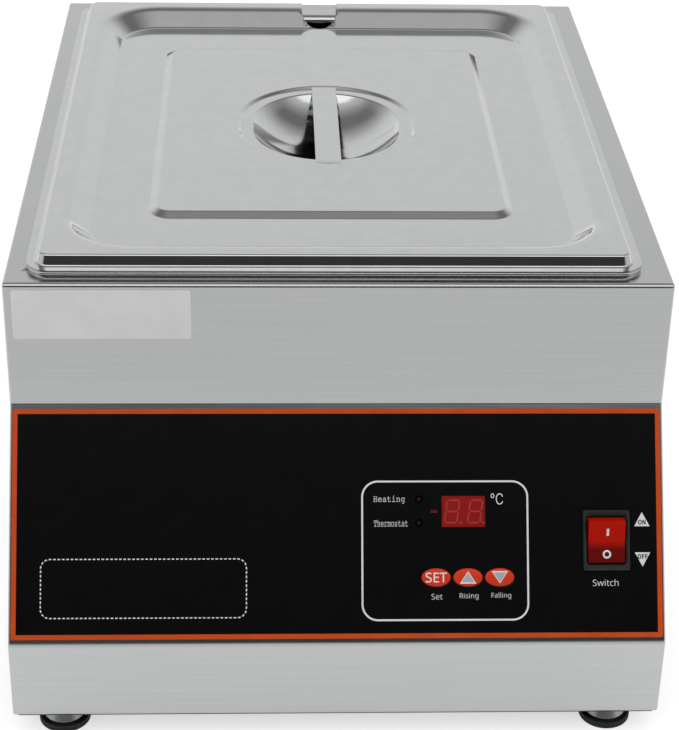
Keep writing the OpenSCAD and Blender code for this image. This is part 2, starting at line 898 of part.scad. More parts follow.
module clamp_plate() {
    color("lightslategray")
        difference() {
            translate([0, pan_y, 0])
                round_block(mat_w - 2 * clamp_inset, mat_l - 2 * clamp_inset, mat_corner_r, clamp_bottom_z, mat_bottom_z);
            stud_holes(clamp_bottom_z, mat_bottom_z);
        }
}

module hex_nut(r, hole_r, h) {
    difference() {
        cylinder(r = r, h = h, $fn = 6);
        translate([0, 0, -over])
            cylinder(r = hole_r, h = h + 2 * over);
    }
}

module clamp_nuts() {
    color("lightgray")
        for (p = heater_stud_places)
            translate([p[0], p[1], heater_nut_z])
                hex_nut(nut_r, stud_r + nut_gap_r, nut_h);
}

// Two riveted blades under the mat's tail
module heater_terminals() {
    color("khaki")
        for (s = [-1, 1])
            translate([s * hatch_w / 8, pan_y - mat_l / 2 - mat_tail / 2, mat_bottom_z]) {
                translate([-blade_w / 2, -blade_t / 2, -blade_l])
                    cube([blade_w, blade_t, blade_l]);
                translate([0, 0, -blade_t])
                    cylinder(r = blade_w / 2, h = blade_t);
            }
}

// The opening in the blanket and its jacket under the sensors
module hatch(from_z, to_z) {
    translate([0, hatch_y, (from_z + to_z) / 2])
        cube([hatch_w, hatch_l, to_z - from_z], center = true);
}

module insulation_blanket() {
    color("ivory")
        difference() {
            translate([0, pan_y, 0])
                round_block(blanket_w, blanket_l, blanket_corner_r, blanket_bottom_z, blanket_top_z);
            translate([0, pan_y, 0])
                round_block(well_out_w, well_out_l, well_out_corner_r, blanket_floor_z, blanket_top_z + over);
            hatch(blanket_bottom_z - over, blanket_floor_z + over);
            stud_holes(heater_nut_z - stud_l, heater_nut_z);
        }
}

module insulation_jacket() {
    color("lightsteelblue")
        difference() {
            union() {
                translate([0, pan_y, 0])
                    round_block(jacket_w, jacket_l, jacket_corner_r, blanket_bottom_z - jacket_t, well_flange_z);
                translate([0, pan_y, 0])
                    round_block(
                        jacket_w + 2 * jacket_flange_w, jacket_l + 2 * jacket_flange_w,
                        jacket_corner_r + jacket_flange_w, well_flange_z - jacket_t, well_flange_z
                    );
            }
            translate([0, pan_y, 0])
                round_block(blanket_w, blanket_l, blanket_corner_r, blanket_bottom_z, well_flange_z + over);
            hatch(blanket_bottom_z - jacket_t - over, blanket_bottom_z + over);
        }
}

probe_r = 2.5;
probe_l = 30;
probe_x = 26;
clip_w = 8;
clip_t = 0.8;
clip_ear = 6;
cutout_r = 8;
cutout_h = 6;
cutout_cap_h = 5;
cutout_x = -20;

module temperature_probe() {
    color("silver")
        translate([probe_x, hatch_y + probe_l / 2, clamp_bottom_z - probe_r])
            rotate([90, 0, 0])
                cylinder(r = probe_r, h = probe_l);
}

// A saddle over the probe, screwed to the clamp plate
module probe_clip() {
    color("lightgray")
        translate([probe_x, hatch_y + clip_w / 2, clamp_bottom_z])
            rotate([90, 0, 0])
                linear_extrude(clip_w)
                    difference() {
                        union() {
                            translate([0, -probe_r])
                                circle(probe_r + nut_gap_r + clip_t);
                            translate([-probe_r - clip_ear, -clip_t])
                                square([2 * (probe_r + clip_ear), clip_t]);
                        }
                        translate([0, -probe_r])
                            circle(probe_r + nut_gap_r);
                        translate([-probe_r - clip_ear, 0])
                            square([2 * (probe_r + clip_ear), 2 * probe_r]);
                    }
}

// A snap-disc cut-out: a metal cap against the clamp plate, a round body and two blades
module thermal_cutout() {
    color("dimgray")
        translate([cutout_x, hatch_y, clamp_bottom_z - cutout_cap_h]) {
            cylinder(r = cutout_r, h = cutout_cap_h);
            translate([0, 0, -cutout_h])
                cylinder(r = cutout_r - blade_t, h = cutout_h);
            for (s = [-1, 1])
                translate([s * cutout_r / 2 - blade_t / 2, -blade_w / 2, -cutout_h - blade_l])
                    cube([blade_t, blade_w, blade_l + over]);
        }
}

module control_overlay() {
    color("black")
        difference() {
            on_slope(0, overlay_top + overlay_l / 2)
                linear_extrude(overlay_t)
                    round_rect(overlay_w, overlay_l, label_corner_r);
            control_holes(-window_edge);
        }
}

// The red filter fills the hole in the sheet from behind the film
module display_window() {
    color("darkred")
        on_slope(window_x, window_down)
            translate([0, 0, -window_t / 2])
                cube([window_w, window_l, window_t], center = true);
}

module display_module() {
    color("dimgray")
        on_slope(window_x, window_down)
            translate([0, 0, board_face + (module_h - module_gap) / 2])
                cube([window_w, window_l, module_h - module_gap], center = true);
}

// A key: a crowned oval cap through the film, held from behind by its flange
module oval_key(place) {
    cap_top = overlay_t + key_rise;
    color("orangered")
        on_slope(key_x + place * key_pitch, key_down)
            intersection() {
                union() {
                    translate([0, 0, key_foot])
                        linear_extrude(cap_top - key_foot)
                            key_oval(0);
                    translate([0, 0, key_foot])
                        linear_extrude(key_flange_t)
                            intersection() {
                                key_oval(key_flange);
                                square([key_pitch - key_gap, key_w], center = true);
                            }
                }
                translate([0, 0, cap_top - key_crown_r])
                    sphere(key_crown_r);
            }
}

module set_key() {
    oval_key(-1);
}

module up_key() {
    oval_key(0);
}

module down_key() {
    oval_key(1);
}

module on_board() {
    on_slope(board_x, board_down) children();
}

module controller_board() {
    color("darkgreen")
        on_board()
            difference() {
                translate([0, 0, board_back + board_t / 2])
                    cube([board_w, board_l, board_t], center = true);
                for (p = board_stud_places)
                    translate([p[0], p[1], board_back])
                        cylinder(r = board_stud_r + nut_gap_r, h = 4 * over, center = true);
            }
}

module board_standoffs() {
    color("gray")
        on_board()
            for (p = board_stud_places)
                translate([p[0], p[1], 0]) {
                    translate([0, 0, board_face])
                        cylinder(r = standoff_r, h = -sheet_t - board_face);
                    translate([0, 0, board_back - board_stud_l])
                        cylinder(r = board_stud_r, h = board_stud_l + board_t + over);
                }
}

module board_nuts() {
    color("lightgray")
        on_board()
            for (p = board_stud_places)
                translate([p[0], p[1], board_back - board_nut_h])
                    hex_nut(board_nut_r, board_stud_r + nut_gap_r, board_nut_h);
}

module tact_switches() {
    color("dimgray")
        for (i = [-1:1])
            on_slope(key_x + i * key_pitch, key_down)
                translate([0, 0, board_face]) {
                    translate([0, 0, tact_body_h / 2])
                        cube([tact_w, tact_w, tact_body_h], center = true);
                    cylinder(r = tact_button_r, h = key_foot - tact_gap - board_face);
                }
}

// Two round lamps and the bar-shaped minus lamp
module indicator_leds() {
    lamp_h = -board_face - led_recess;
    color("firebrick") {
        for (i = [0, 1])
            on_slope(led_x, led_down + i * led_pitch)
                translate([0, 0, board_face]) {
                    cylinder(r = led_r, h = lamp_h - led_r);
                    translate([0, 0, lamp_h - led_r])
                        sphere(led_r);
                }
        on_slope(minus_x, window_down)
            translate([0, 0, board_face + lamp_h / 2])
                cube([minus_w, minus_l, lamp_h], center = true);
    }
}

// The laminated core with the winding that stands proud of it on both sides
module board_transformer() {
    color("saddlebrown")
        on_slope(board_x - board_w / 4, board_down + board_l / 8)
            translate([0, 0, board_back - transformer_h / 2]) {
                cube([transformer_w, transformer_l - 2 * coil_bulge, transformer_h], center = true);
                cube([coil_w, transformer_l, transformer_h - 2 * coil_bulge], center = true);
            }
}

module board_relay() {
    color("royalblue")
        on_slope(board_x + board_w / 6, board_down + board_l / 8)
            translate([0, 0, board_back - relay_h / 2])
                cube([relay_w, relay_l, relay_h], center = true);
}

module board_connector() {
    color("ivory")
        on_slope(board_x + board_w / 6, board_down - board_l / 4)
            translate([0, 0, board_back - connector_h])
                difference() {
                    translate([-connector_w / 2, -connector_l / 2, 0])
                        cube([connector_w, connector_l, connector_h]);
                    translate([-connector_w / 2 + blade_t, -connector_l / 2 + blade_t, -over])
                        cube([connector_w - 2 * blade_t, connector_l - 2 * blade_t, connector_h / 2 + over]);
                }
}

// The switch's frame and body, with the open well that the rocker tips in
module switch_housing() {
    color("darkslategray")
        on_slope(switch_x, switch_down)
            difference() {
                union() {
                    translate([0, 0, overlay_t])
                        linear_extrude(bezel_t)
                            round_rect(bezel_w, bezel_l, bezel_corner_r);
                    translate([0, 0, (overlay_t - switch_body_h) / 2])
                        cube([switch_body_w, switch_body_l, switch_body_h + overlay_t], center = true);
                }
                translate([-well_in_w / 2, -well_in_l / 2, -rocker_well_depth])
                    cube([well_in_w, well_in_l, rocker_well_depth + overlay_t + bezel_t + over]);
                translate([0, 0, -pivot_depth])
                    rotate([0, 90, 0])
                        cylinder(r = pivot_r + pivot_gap, h = bezel_w, center = true);
            }
}

// The rocker at rest with its lower half pressed in: round ends about the pivot, two faces that meet in a hollow
module switch_rocker() {
    rest_tip = rocker_swing / 2;
    face_mid = rocker_h / cos(rest_tip);
    face_end = face_mid + rocker_r * tan(rest_tip);
    color("red")
        on_slope(switch_x, switch_down)
            translate([0, 0, -pivot_depth])
                rotate([rest_tip, 0, 0]) {
                    rotate([90, 0, 90])
                        linear_extrude(rocker_w, center = true)
                            intersection() {
                                circle(rocker_r);
                                polygon([
                                    [-rocker_r, -rocker_skirt],
                                    [rocker_r, -rocker_skirt],
                                    [rocker_r, face_end],
                                    [0, face_mid],
                                    [-rocker_r, face_end]
                                ]);
                            }
                    rotate([0, 90, 0])
                        cylinder(r = pivot_r, h = rocker_w + 2 * pivot_l, center = true);
                }
}

module switch_terminals() {
    color("khaki")
        on_slope(switch_x, switch_down)
            for (sx = [-1, 1], sy = [-1, 1])
                translate([
                    sx * blade_pitch_share * switch_body_w / 2 - blade_t / 2,
                    sy * blade_pitch_share * switch_body_l / 2 - blade_w / 2,
                    -switch_body_h - blade_l
                ])
                    cube([blade_t, blade_w, blade_l]);
}

// Three poles with a screw well each, on a stepped body
module terminal_block() {
    color("whitesmoke")
        translate([0, rear_y - rear_parts_in, case_bottom])
            difference() {
                union() {
                    translate([-block_w / 2, -block_l / 2, 0])
                        cube([block_w, block_l, block_step_h]);
                    translate([-block_w / 2, -block_l / 4, 0])
                        cube([block_w, block_l / 2, block_h]);
                }
                for (i = [-1:1])
                    translate([i * block_w / 3, 0, block_step_h])
                        cylinder(r = block_pole_r, h = block_h);
            }
}

module earth_stud() {
    color("gold")
        translate([earth_place_x, rear_y - rear_parts_in, 0]) {
            translate([0, 0, foot_h - foot_bolt_head_h])
                cylinder(r = earth_nut_r, h = foot_bolt_head_h, $fn = 6);
            translate([0, 0, foot_h - over])
                cylinder(r = earth_r, h = earth_l);
            translate([0, 0, case_bottom])
                cylinder(r = earth_nut_r, h = earth_nut_h, $fn = 6);
        }
}

// The gland: a hexagon against the rear panel, a tapered cap outside and a thread inside
module cable_gland() {
    tip = gland_hex_h + gland_cap_h;
    taper = gland_cap_h / 3;
    inside = sheet_t + gland_thread_l;
    color("black")
        facing_back(gland_x, panel_y, gland_z)
            difference() {
                union() {
                    translate([0, 0, -inside])
                        cylinder(r = gland_thread_r, h = inside + over);
                    cylinder(r = gland_hex_r, h = gland_hex_h, $fn = 6);
                    cylinder(r = gland_cap_r, h = tip - taper);
                    translate([0, 0, tip - taper])
                        cylinder(r1 = gland_cap_r, r2 = gland_tip_r, h = taper);
                }
                translate([0, 0, -inside - over])
                    cylinder(r = cord_bore_r, h = inside + tip + 2 * over);
            }
}

module gland_nut() {
    color("dimgray")
        facing_back(gland_x, panel_y - sheet_t - gland_nut_h, gland_z)
            hex_nut(gland_hex_r, gland_thread_r + gland_play, gland_nut_h);
}

module foot_pad(place) {
    color("black")
        translate([place[0], place[1], 0])
            difference() {
                rotate_extrude()
                    polygon([
                        [0, 0],
                        [pad_r - pad_round, 0],
                        [pad_r, pad_round],
                        [pad_r, pad_h - pad_round],
                        [pad_r - pad_round, pad_h],
                        [0, pad_h]
                    ]);
                translate([0, 0, -over])
                    cylinder(r = pad_recess_r, h = pad_recess_h + over);
                cylinder(r = foot_bolt_r + foot_play, h = pad_h + over);
            }
}

module foot_cup(place) {
    color("lightgray")
        translate([place[0], place[1], pad_h])
            difference() {
                rotate_extrude()
                    polygon([
                        [0, 0],
                        [cup_r, 0],
                        [cup_r, cup_round / 2],
                        [cup_top_r + cup_round, cup_h - cup_round],
                        [cup_top_r, cup_h],
                        [0, cup_h]
                    ]);
                translate([0, 0, -over])
                    cylinder(r = foot_bolt_r + foot_play, h = cup_h + 2 * over);
            }
}

module foot_pad_front_left() {
    foot_pad(foot_places[0]);
}

module foot_pad_front_right() {
    foot_pad(foot_places[1]);
}

module foot_pad_rear_left() {
    foot_pad(foot_places[2]);
}

module foot_pad_rear_right() {
    foot_pad(foot_places[3]);
}

module foot_cup_front_left() {
    foot_cup(foot_places[0]);
}

module foot_cup_front_right() {
    foot_cup(foot_places[1]);
}

module foot_cup_rear_left() {
    foot_cup(foot_places[2]);
}

module foot_cup_rear_right() {
    foot_cup(foot_places[3]);
}

// A bolt up through each foot, with its head in the pad's recess
module foot_bolts() {
    top = case_bottom + foot_nut_h + foot_bolt_r;
    color("lightgray")
        for (p = foot_places)
            translate([p[0], p[1], pad_recess_h - foot_bolt_head_h]) {
                cylinder(r = foot_bolt_head_r, h = foot_bolt_head_h);
                cylinder(r = foot_bolt_r, h = top - pad_recess_h + foot_bolt_head_h);
            }
}

module foot_nuts() {
    color("lightgray")
        for (p = foot_places)
            translate([p[0], p[1], case_bottom])
                hex_nut(foot_nut_r, foot_bolt_r + foot_play, foot_nut_h);
}

// A pan-head screw whose head lies on Z = 0 and whose shank points down
module screw() {
    cylinder(r1 = screw_head_r, r2 = screw_head_r - screw_head_h / 2, h = screw_head_h);
    translate([0, 0, -screw_l])
        cylinder(r = screw_r, h = screw_l + screw_head_h / 2);
}

module base_screws() {
    color("lightgray")
        for (p = base_screw_places)
            translate([p[0], p[1], foot_h])
                rotate([180, 0, 0])
                    screw();
}

module rear_screws() {
    color("lightgray")
        for (p = rear_screw_places)
            facing_back(p[0], rear_y, p[1])
                screw();
}

body_wrap();
side_panel_left();
side_panel_right();
rear_panel();
base_plate();
note_label();
pan();
lid_shell();
lid_handle();
heater_box();
heating_mat();
clamp_plate();
clamp_nuts();
heater_terminals();
insulation_blanket();
insulation_jacket();
temperature_probe();
probe_clip();
thermal_cutout();
control_overlay();
display_window();
display_module();
set_key();
up_key();
down_key();
controller_board();
tact_switches();
indicator_leds();
board_transformer();
board_relay();
board_connector();
board_standoffs();
board_nuts();
switch_housing();
switch_rocker();
switch_terminals();
terminal_block();
earth_stud();
cable_gland();
gland_nut();
foot_pad_front_left();
foot_pad_front_right();
foot_pad_rear_left();
foot_pad_rear_right();
foot_cup_front_left();
foot_cup_front_right();
foot_cup_rear_left();
foot_cup_rear_right();
foot_bolts();
foot_nuts();
base_screws();
rear_screws();
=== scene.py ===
import math
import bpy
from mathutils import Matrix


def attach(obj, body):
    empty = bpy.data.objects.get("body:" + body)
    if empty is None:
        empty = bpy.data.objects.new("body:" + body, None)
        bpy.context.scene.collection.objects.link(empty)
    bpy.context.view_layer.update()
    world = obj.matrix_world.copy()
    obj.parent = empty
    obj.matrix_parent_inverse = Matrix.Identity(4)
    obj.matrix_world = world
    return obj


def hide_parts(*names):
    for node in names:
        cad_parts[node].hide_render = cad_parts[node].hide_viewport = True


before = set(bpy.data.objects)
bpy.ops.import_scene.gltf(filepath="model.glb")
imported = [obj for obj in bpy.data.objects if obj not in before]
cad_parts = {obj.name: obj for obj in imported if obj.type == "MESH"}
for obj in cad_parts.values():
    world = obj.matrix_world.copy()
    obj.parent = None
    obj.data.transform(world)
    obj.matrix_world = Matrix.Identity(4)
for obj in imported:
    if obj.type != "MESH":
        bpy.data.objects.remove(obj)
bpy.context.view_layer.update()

from types import SimpleNamespace
import bmesh
import bpy
from mathutils import Matrix, Vector
from mathutils.geometry import tessellate_polygon

# Lengths in this file are millimetres. They turn into metres where a mesh is made
mm = 0.001
# Distance between the slow waves of polished sheet
waveLength = 45.0


# Shared tools

def toLinear(hexText):
    parts = [int(hexText[i:i + 2], 16) / 255 for i in (0, 2, 4)]
    return [c / 12.92 if c <= 0.04045 else ((c + 0.055) / 1.055) ** 2.4 for c in parts] + [1.0]


def feed(tree, node, inputs):
    # Sockets, and nodes by their first output, are linked to the input. Plain values go on the input itself
    for key, value in inputs.items():
        if isinstance(value, bpy.types.Node):
            value = value.outputs[0]
        if isinstance(value, bpy.types.NodeSocket):
            tree.links.new(value, node.inputs[key])
        else:
            node.inputs[key].default_value = value


def addNode(tree, kind, inputs, **settings):
    node = tree.nodes.new(kind)
    for key, value in settings.items():
        setattr(node, key, value)
    feed(tree, node, inputs)
    return node


def startMaterial(name, colour, roughness, metallic=0.0, specular=0.5):
    material = bpy.data.materials.new(name)
    material.use_nodes = True
    tree = material.node_tree
    tree.nodes.clear()
    shader = addNode(tree, "ShaderNodeBsdfPrincipled", {
        "Base Color": toLinear(colour), "Roughness": roughness, "Metallic": metallic, "Specular IOR Level": specular})
    addNode(tree, "ShaderNodeOutputMaterial", {"Surface": shader})
    return material, tree, shader


def placeOn(tree):
    return addNode(tree, "ShaderNodeTexCoord", {}).outputs["Object"]


def partsOf(tree, vector):
    return addNode(tree, "ShaderNodeSeparateXYZ", {"Vector": vector}).outputs


def grainOf(tree, sizeMm, stretch=(1, 1, 1), detail=2.0, roughness=0.5):
    # Noise whose grains are about sizeMm across, drawn out along an axis by a small stretch value
    scaled = addNode(tree, "ShaderNodeMapping", {"Scale": stretch, "Vector": placeOn(tree)})
    return addNode(tree, "ShaderNodeTexNoise",
                   {"Scale": 1000 / sizeMm, "Detail": detail, "Roughness": roughness, "Vector": scaled})


def mapOver(tree, value, bounds, **settings):
    # bounds holds the range that comes in and the range that goes out
    ends = dict(zip(("From Min", "From Max", "To Min", "To Max"), bounds))
    return addNode(tree, "ShaderNodeMapRange", {"Value": value, **ends}, **settings)


def calc(tree, operation, *values):
    return addNode(tree, "ShaderNodeMath", dict(enumerate(values)), operation=operation)


def mixColours(tree, factor, first, second):
    # The node holds its two colours in sockets 6 and 7 and gives the mix in output 2
    inputs = {"Factor": factor, 6: first, 7: second}
    return addNode(tree, "ShaderNodeMix", inputs, data_type="RGBA").outputs[2]


def tint(tree, factor, dark, light, low=0.3, high=0.7):
    ramp = addNode(tree, "ShaderNodeValToRGB", {"Fac": factor})
    ramp.color_ramp.elements[0].position, ramp.color_ramp.elements[0].color = low, toLinear(dark)
    ramp.color_ramp.elements[1].position, ramp.color_ramp.elements[1].color = high, toLinear(light)
    return ramp


def bumpOn(tree, shader, height, depthMm, under=None):
    inputs = {"Strength": 1.0, "Distance": depthMm * mm, "Height": height}
    bump = addNode(tree, "ShaderNodeBump", {**inputs, "Normal": under} if under else inputs)
    feed(tree, shader, {"Normal": bump})
    return bump


def brushedMetal(name, dark, light, roughness, stretch, lineMm, depthMm, waveMm=0.0):
    # Lines of a belt grinder: they shade the colour and the gloss, and spread reflections across them
    material, tree, shader = startMaterial(name, light, roughness, 1.0)
    lines = grainOf(tree, lineMm, stretch, 3.0, 0.65)
    patches = grainOf(tree, 60 * lineMm, [max(s, 0.2) for s in stretch], 1.0)
    half = calc(tree, "MULTIPLY", calc(tree, "ADD", lines, patches), 0.5)
    feed(tree, shader, {"Base Color": tint(tree, lines, dark, light),
                        "Roughness": mapOver(tree, half, (0.3, 0.7, roughness * 0.8, roughness * 1.2))})
    under = bumpOn(tree, shader, grainOf(tree, waveLength, detail=1.0), waveMm) if waveMm else None
    if depthMm:
        bumpOn(tree, shader, lines, depthMm, under)
    return material


def mouldedPlastic(name, dark, light, roughness, grainMm, depthMm, metallic=0.0, specular=0.5):
    material, tree, shader = startMaterial(name, light, roughness, metallic, specular)
    grain = grainOf(tree, grainMm, detail=3.0)
    feed(tree, shader, {"Base Color": tint(tree, grainOf(tree, 30 * grainMm), dark, light),
                        "Roughness": mapOver(tree, grain, (0.3, 0.7, roughness * 0.9, roughness * 1.15))})
    bumpOn(tree, shader, grain, depthMm)
    return material


def bendPath(points, radii, shift=0.0, steps=8, closed=False):
    # A line in two dimensions with arcs at its corners, moved to its left by shift. A radius of 0 keeps the point
    count = len(points)
    line = []
    for i, at in enumerate(Vector(p) for p in points):
        before = Vector(points[i - 1]) if i or closed else None
        after = Vector(points[(i + 1) % count]) if i < count - 1 or closed else None
        u = (at - before).normalized() if before is not None else (after - at).normalized()
        w = (after - at).normalized() if after is not None else u
        angle = math.atan2(u.x * w.y - u.y * w.x, u.dot(w))
        left = Vector((-u.y, u.x))
        if not radii[i] or abs(angle) < 1e-6:
            line.append(at + left * shift)
            continue
        side = 1 if angle > 0 else -1
        middle = at - u * radii[i] * math.tan(abs(angle) / 2) + left * side * radii[i]
        start = math.atan2(-left.y * side, -left.x * side)
        for k in range(steps + 1):
            a = start + angle * k / steps
            line.append(middle + (radii[i] - side * shift) * Vector((math.cos(a), math.sin(a))))
    return [(p.x, p.y) for p in line]


def arcOf(radius, degrees, centre=(0, 0)):
    return [(centre[0] + radius * math.cos(math.radians(a)), centre[1] + radius * math.sin(math.radians(a)))
            for a in degrees]


def roundRectRing(halfX, halfY, radius, z, centre=(0, 0), cornerSteps=14, acrossX=1, acrossY=1):
    # The points of a rectangle with round corners, anticlockwise from above
    radius = max(min(radius, halfX - 1e-4, halfY - 1e-4), 1e-4)
    arcs = []
    for quarter, (sx, sy) in enumerate(((1, 1), (-1, 1), (-1, -1), (1, -1))):
        degrees = [90 * (quarter + k / cornerSteps) for k in range(cornerSteps + 1)]
        arcs.append(arcOf(radius, degrees, (sx * (halfX - radius), sy * (halfY - radius))))
    ring = []
    for i, arc in enumerate(arcs):
        ring += arc
        start, end = arc[-1], arcs[(i + 1) % 4][0]
        pieces = acrossX if i % 2 == 0 else acrossY
        ring += [(start[0] + (end[0] - start[0]) * k / pieces, start[1] + (end[1] - start[1]) * k / pieces)
                 for k in range(1, pieces)]
    return [(x + centre[0], y + centre[1], z) for x, y in ring]


def insetRings(path, halfX, halfY, corner, *layout):
    # A ring for each inset and height in the path
    return [roundRectRing(halfX - d, halfY - d, corner - d, z, *layout) for d, z in path]


def ovalRing(halfX, halfY, z, steps, centre=(0, 0)):
    return [(centre[0] + halfX * math.cos(2 * math.pi * k / steps),
             centre[1] + halfY * math.sin(2 * math.pi * k / steps), z) for k in range(steps)]


def circleRing(radius, z, centre=(0, 0), steps=64):
    return ovalRing(radius, radius, z, steps, centre)


def linkObject(name, data):
    piece = bpy.data.objects.new(name, data)
    bpy.context.scene.collection.objects.link(piece)
    return piece


def makeMesh(name, points, faces):
    mesh = bpy.data.meshes.new(name)
    mesh.from_pydata([Vector(p) * mm for p in points], [], faces)
    mesh.validate()
    return linkObject(name, mesh)


def ringMesh(name, rings, startCap=False, endCap=False):
    # Skins rings of equal counts. Rings that run inwards or upwards seen from outside face outwards
    count = len(rings[0])
    points = [p for ring in rings for p in ring]
    faces = [(k * count + i, k * count + (i + 1) % count, (k + 1) * count + (i + 1) % count, (k + 1) * count + i)
             for k in range(len(rings) - 1) for i in range(count)]
    if startCap:
        faces.append(tuple(reversed(range(count))))
    if endCap:
        faces.append(tuple((len(rings) - 1) * count + i for i in range(count)))
    return makeMesh(name, points, faces)


def reshape(piece, change):
    # Runs a change on the piece's mesh
    shape = bmesh.new()
    shape.from_mesh(piece.data)
    change(shape)
    shape.to_mesh(piece.data)
    shape.free()
    return piece


def outwards(piece):
    def turnFaces(shape):
        bmesh.ops.remove_doubles(shape, verts=shape.verts, dist=1e-7)
        bmesh.ops.recalc_face_normals(shape, faces=shape.faces)
    return reshape(piece, turnFaces)


def solidOf(name, rings):
    return outwards(ringMesh(name, rings, True, True))


def fillLoops(points, loops, facing):
    # Triangles that fill loops of point numbers and face along a direction
    order = [i for loop in loops for i in loop]
    faces = []
    for corners in tessellate_polygon([[Vector(points[i]) for i in loop] for loop in loops]):
        a, b, c = (order[k] for k in corners)
        start = Vector(points[a])
        normal = (Vector(points[b]) - start).cross(Vector(points[c]) - start)
        faces.append((a, b, c) if normal.dot(Vector(facing)) > 0 else (c, b, a))
    return faces


def smooth(piece, angle=40):
    piece.data.polygons.foreach_set("use_smooth", [True] * len(piece.data.polygons))
    piece.data.set_sharp_from_angle(angle=math.radians(angle))
    weigh = piece.modifiers.new("flats", "WEIGHTED_NORMAL")
    weigh.keep_sharp, weigh.weight = True, 100
    return piece


def bake(piece):
    # The result of the modifiers becomes the piece's own mesh
    bpy.context.view_layer.update()
    graph = bpy.context.evaluated_depsgraph_get()
    mesh = bpy.data.meshes.new_from_object(piece.evaluated_get(graph), depsgraph=graph)
    piece.modifiers.clear()
    if piece.type == "MESH":
        piece.data = mesh
        return piece
    plain = linkObject(piece.name, mesh)
    bpy.data.objects.remove(piece)
    return plain


def sheetOf(piece, thickness):
    # Gives a skin its sheet thickness behind its visible face
    wall = piece.modifiers.new("wall", "SOLIDIFY")
    wall.thickness, wall.offset, wall.use_even_offset = thickness * mm, -1, True
    return bake(piece)


def softEdges(piece, width, segments, angle):
    edge = piece.modifiers.new("edges", "BEVEL")
    edge.width, edge.segments, edge.limit_method = width * mm, segments, "ANGLE"
    edge.angle_limit = math.radians(angle)
    return bake(piece)


def cutBy(piece, cutter):
    cut = piece.modifiers.new("cut", "BOOLEAN")
    cut.operation, cut.solver, cut.object = "DIFFERENCE", "EXACT", cutter
    bake(piece)
    bpy.data.objects.remove(cutter)


def join(name, pieces):
    # One mesh out of several, each in its place
    whole = bmesh.new()
    for piece in pieces:
        piece.data.transform(piece.matrix_world)
        whole.from_mesh(piece.data)
    mesh = bpy.data.meshes.new(name)
    whole.to_mesh(mesh)
    whole.free()
    for piece in pieces:
        bpy.data.objects.remove(piece)
    return linkObject(name, mesh)


def place(piece, matrix):
    piece.data.transform(matrix)
    return piece


def shift(x, y, z=0.0):
    return Matrix.Translation(Vector((x, y, z)) * mm)


def turn(degrees, axis):
    return Matrix.Rotation(math.radians(degrees), 4, axis)


def fit(piece, material, body, slot, *nodes):
    if material:
        piece.data.materials.clear()
        piece.data.materials.append(material)
    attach(piece, body)
    if nodes:
        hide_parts(*nodes)
    return piece


def newGroup(name, **sizes):
    # A geometry tree with named inputs, each with its kind or its first value. Returns the tree and its inputs
    tree = bpy.data.node_groups.new(name, "GeometryNodeTree")
    tree.interface.new_socket("Geometry", in_out="INPUT", socket_type="NodeSocketGeometry")
    for label, value in sizes.items():
        kind = value if isinstance(value, str) else "Int" if isinstance(value, int) else "Float"
        socket = tree.interface.new_socket(label, in_out="INPUT", socket_type="NodeSocket" + kind)
        if kind != value:
            socket.default_value = value
    tree.interface.new_socket("Geometry", in_out="OUTPUT", socket_type="NodeSocketGeometry")
    return tree, addNode(tree, "NodeGroupInput", {}).outputs


def copyOnPoints(tree, inputs, points, instance, rotation, lift=None):
    # The copies become a plain mesh with the group's material
    copies = addNode(tree, "GeometryNodeInstanceOnPoints",
                     {"Points": points, "Instance": instance, "Rotation": rotation})
    plain = addNode(tree, "GeometryNodeRealizeInstances", {"Geometry": copies})
    if lift:
        plain = addNode(tree, "GeometryNodeSetPosition", {"Geometry": plain, "Offset": lift})
    coated = addNode(tree, "GeometryNodeSetMaterial", {"Geometry": plain, "Material": inputs["Material"]})
    addNode(tree, "NodeGroupOutput", {"Geometry": coated})


def runGroup(piece, tree, **values):
    grow = piece.modifiers.new(tree.name, "NODES")
    grow.node_group = tree
    for item in tree.interface.items_tree:
        if item.in_out == "INPUT" and item.name in values:
            grow[item.identifier] = values[item.name]
    return bake(piece)


# The view of the photograph

view = dict(
    place=(-32.3, -910.0, 591.1),
    yaw=-2.46, pitch=29.84, roll=1.22,
    lens=99.68, sensor=36.0,
)


def aimCamera(s):
    yaw, pitch, roll = (math.radians(angle) for angle in (s.yaw, s.pitch, s.roll))
    right = Vector((math.cos(yaw), math.sin(yaw), 0))
    ahead = Vector((-math.sin(yaw) * math.cos(pitch), math.cos(yaw) * math.cos(pitch), -math.sin(pitch)))
    up = right.cross(ahead)
    tiltedRight = right * math.cos(roll) + up * math.sin(roll)
    tiltedUp = up * math.cos(roll) - right * math.sin(roll)
    data = bpy.data.cameras.new("photoView")
    data.sensor_fit, data.sensor_height, data.lens = "VERTICAL", s.sensor, s.lens
    data.clip_start, data.clip_end = 0.05, 30
    camera = linkObject("photoView", data)
    axes = Matrix((tiltedRight, tiltedUp, -ahead)).transposed()
    camera.matrix_world = Matrix.Translation(Vector(s.place) * mm) @ axes.to_4x4()
    bpy.context.scene.camera = camera


# The studio: a white sweep behind, a dim ceiling, a softbox high in front and the dark room round the camera.
# Stops run from the rear horizon over the top to the front horizon, in degrees, with the light from there.
# Towards either side they give way to a plain side light, and the right is a little dimmer than the left

studio = dict(
    overTop=[(0, 1.05), (9, 0.8), (26, 0.76), (36, 0.66), (54, 0.36), (64, 0.2), (78, 0.2), (90, 0.38), (97, 0.56),
              (102, 0.64), (105, 1.3), (135, 1.3), (138.5, 0.04), (166, 0.04), (173, 0.22), (180, 0.42)],
    side=(0.62, 0.9, 0.0, 1.0), sideLight=(-0.6, 0.6, 0.68, 0.66), lean=(-0.5, 0.5, 1.0, 0.94),
    floorSize=8000.0, floorColour="C6C6C6", floorGlow=0.6, floorMirrored=0.4,
    floorFade=(-0.39, -0.29, 0.64, 1.0),
)


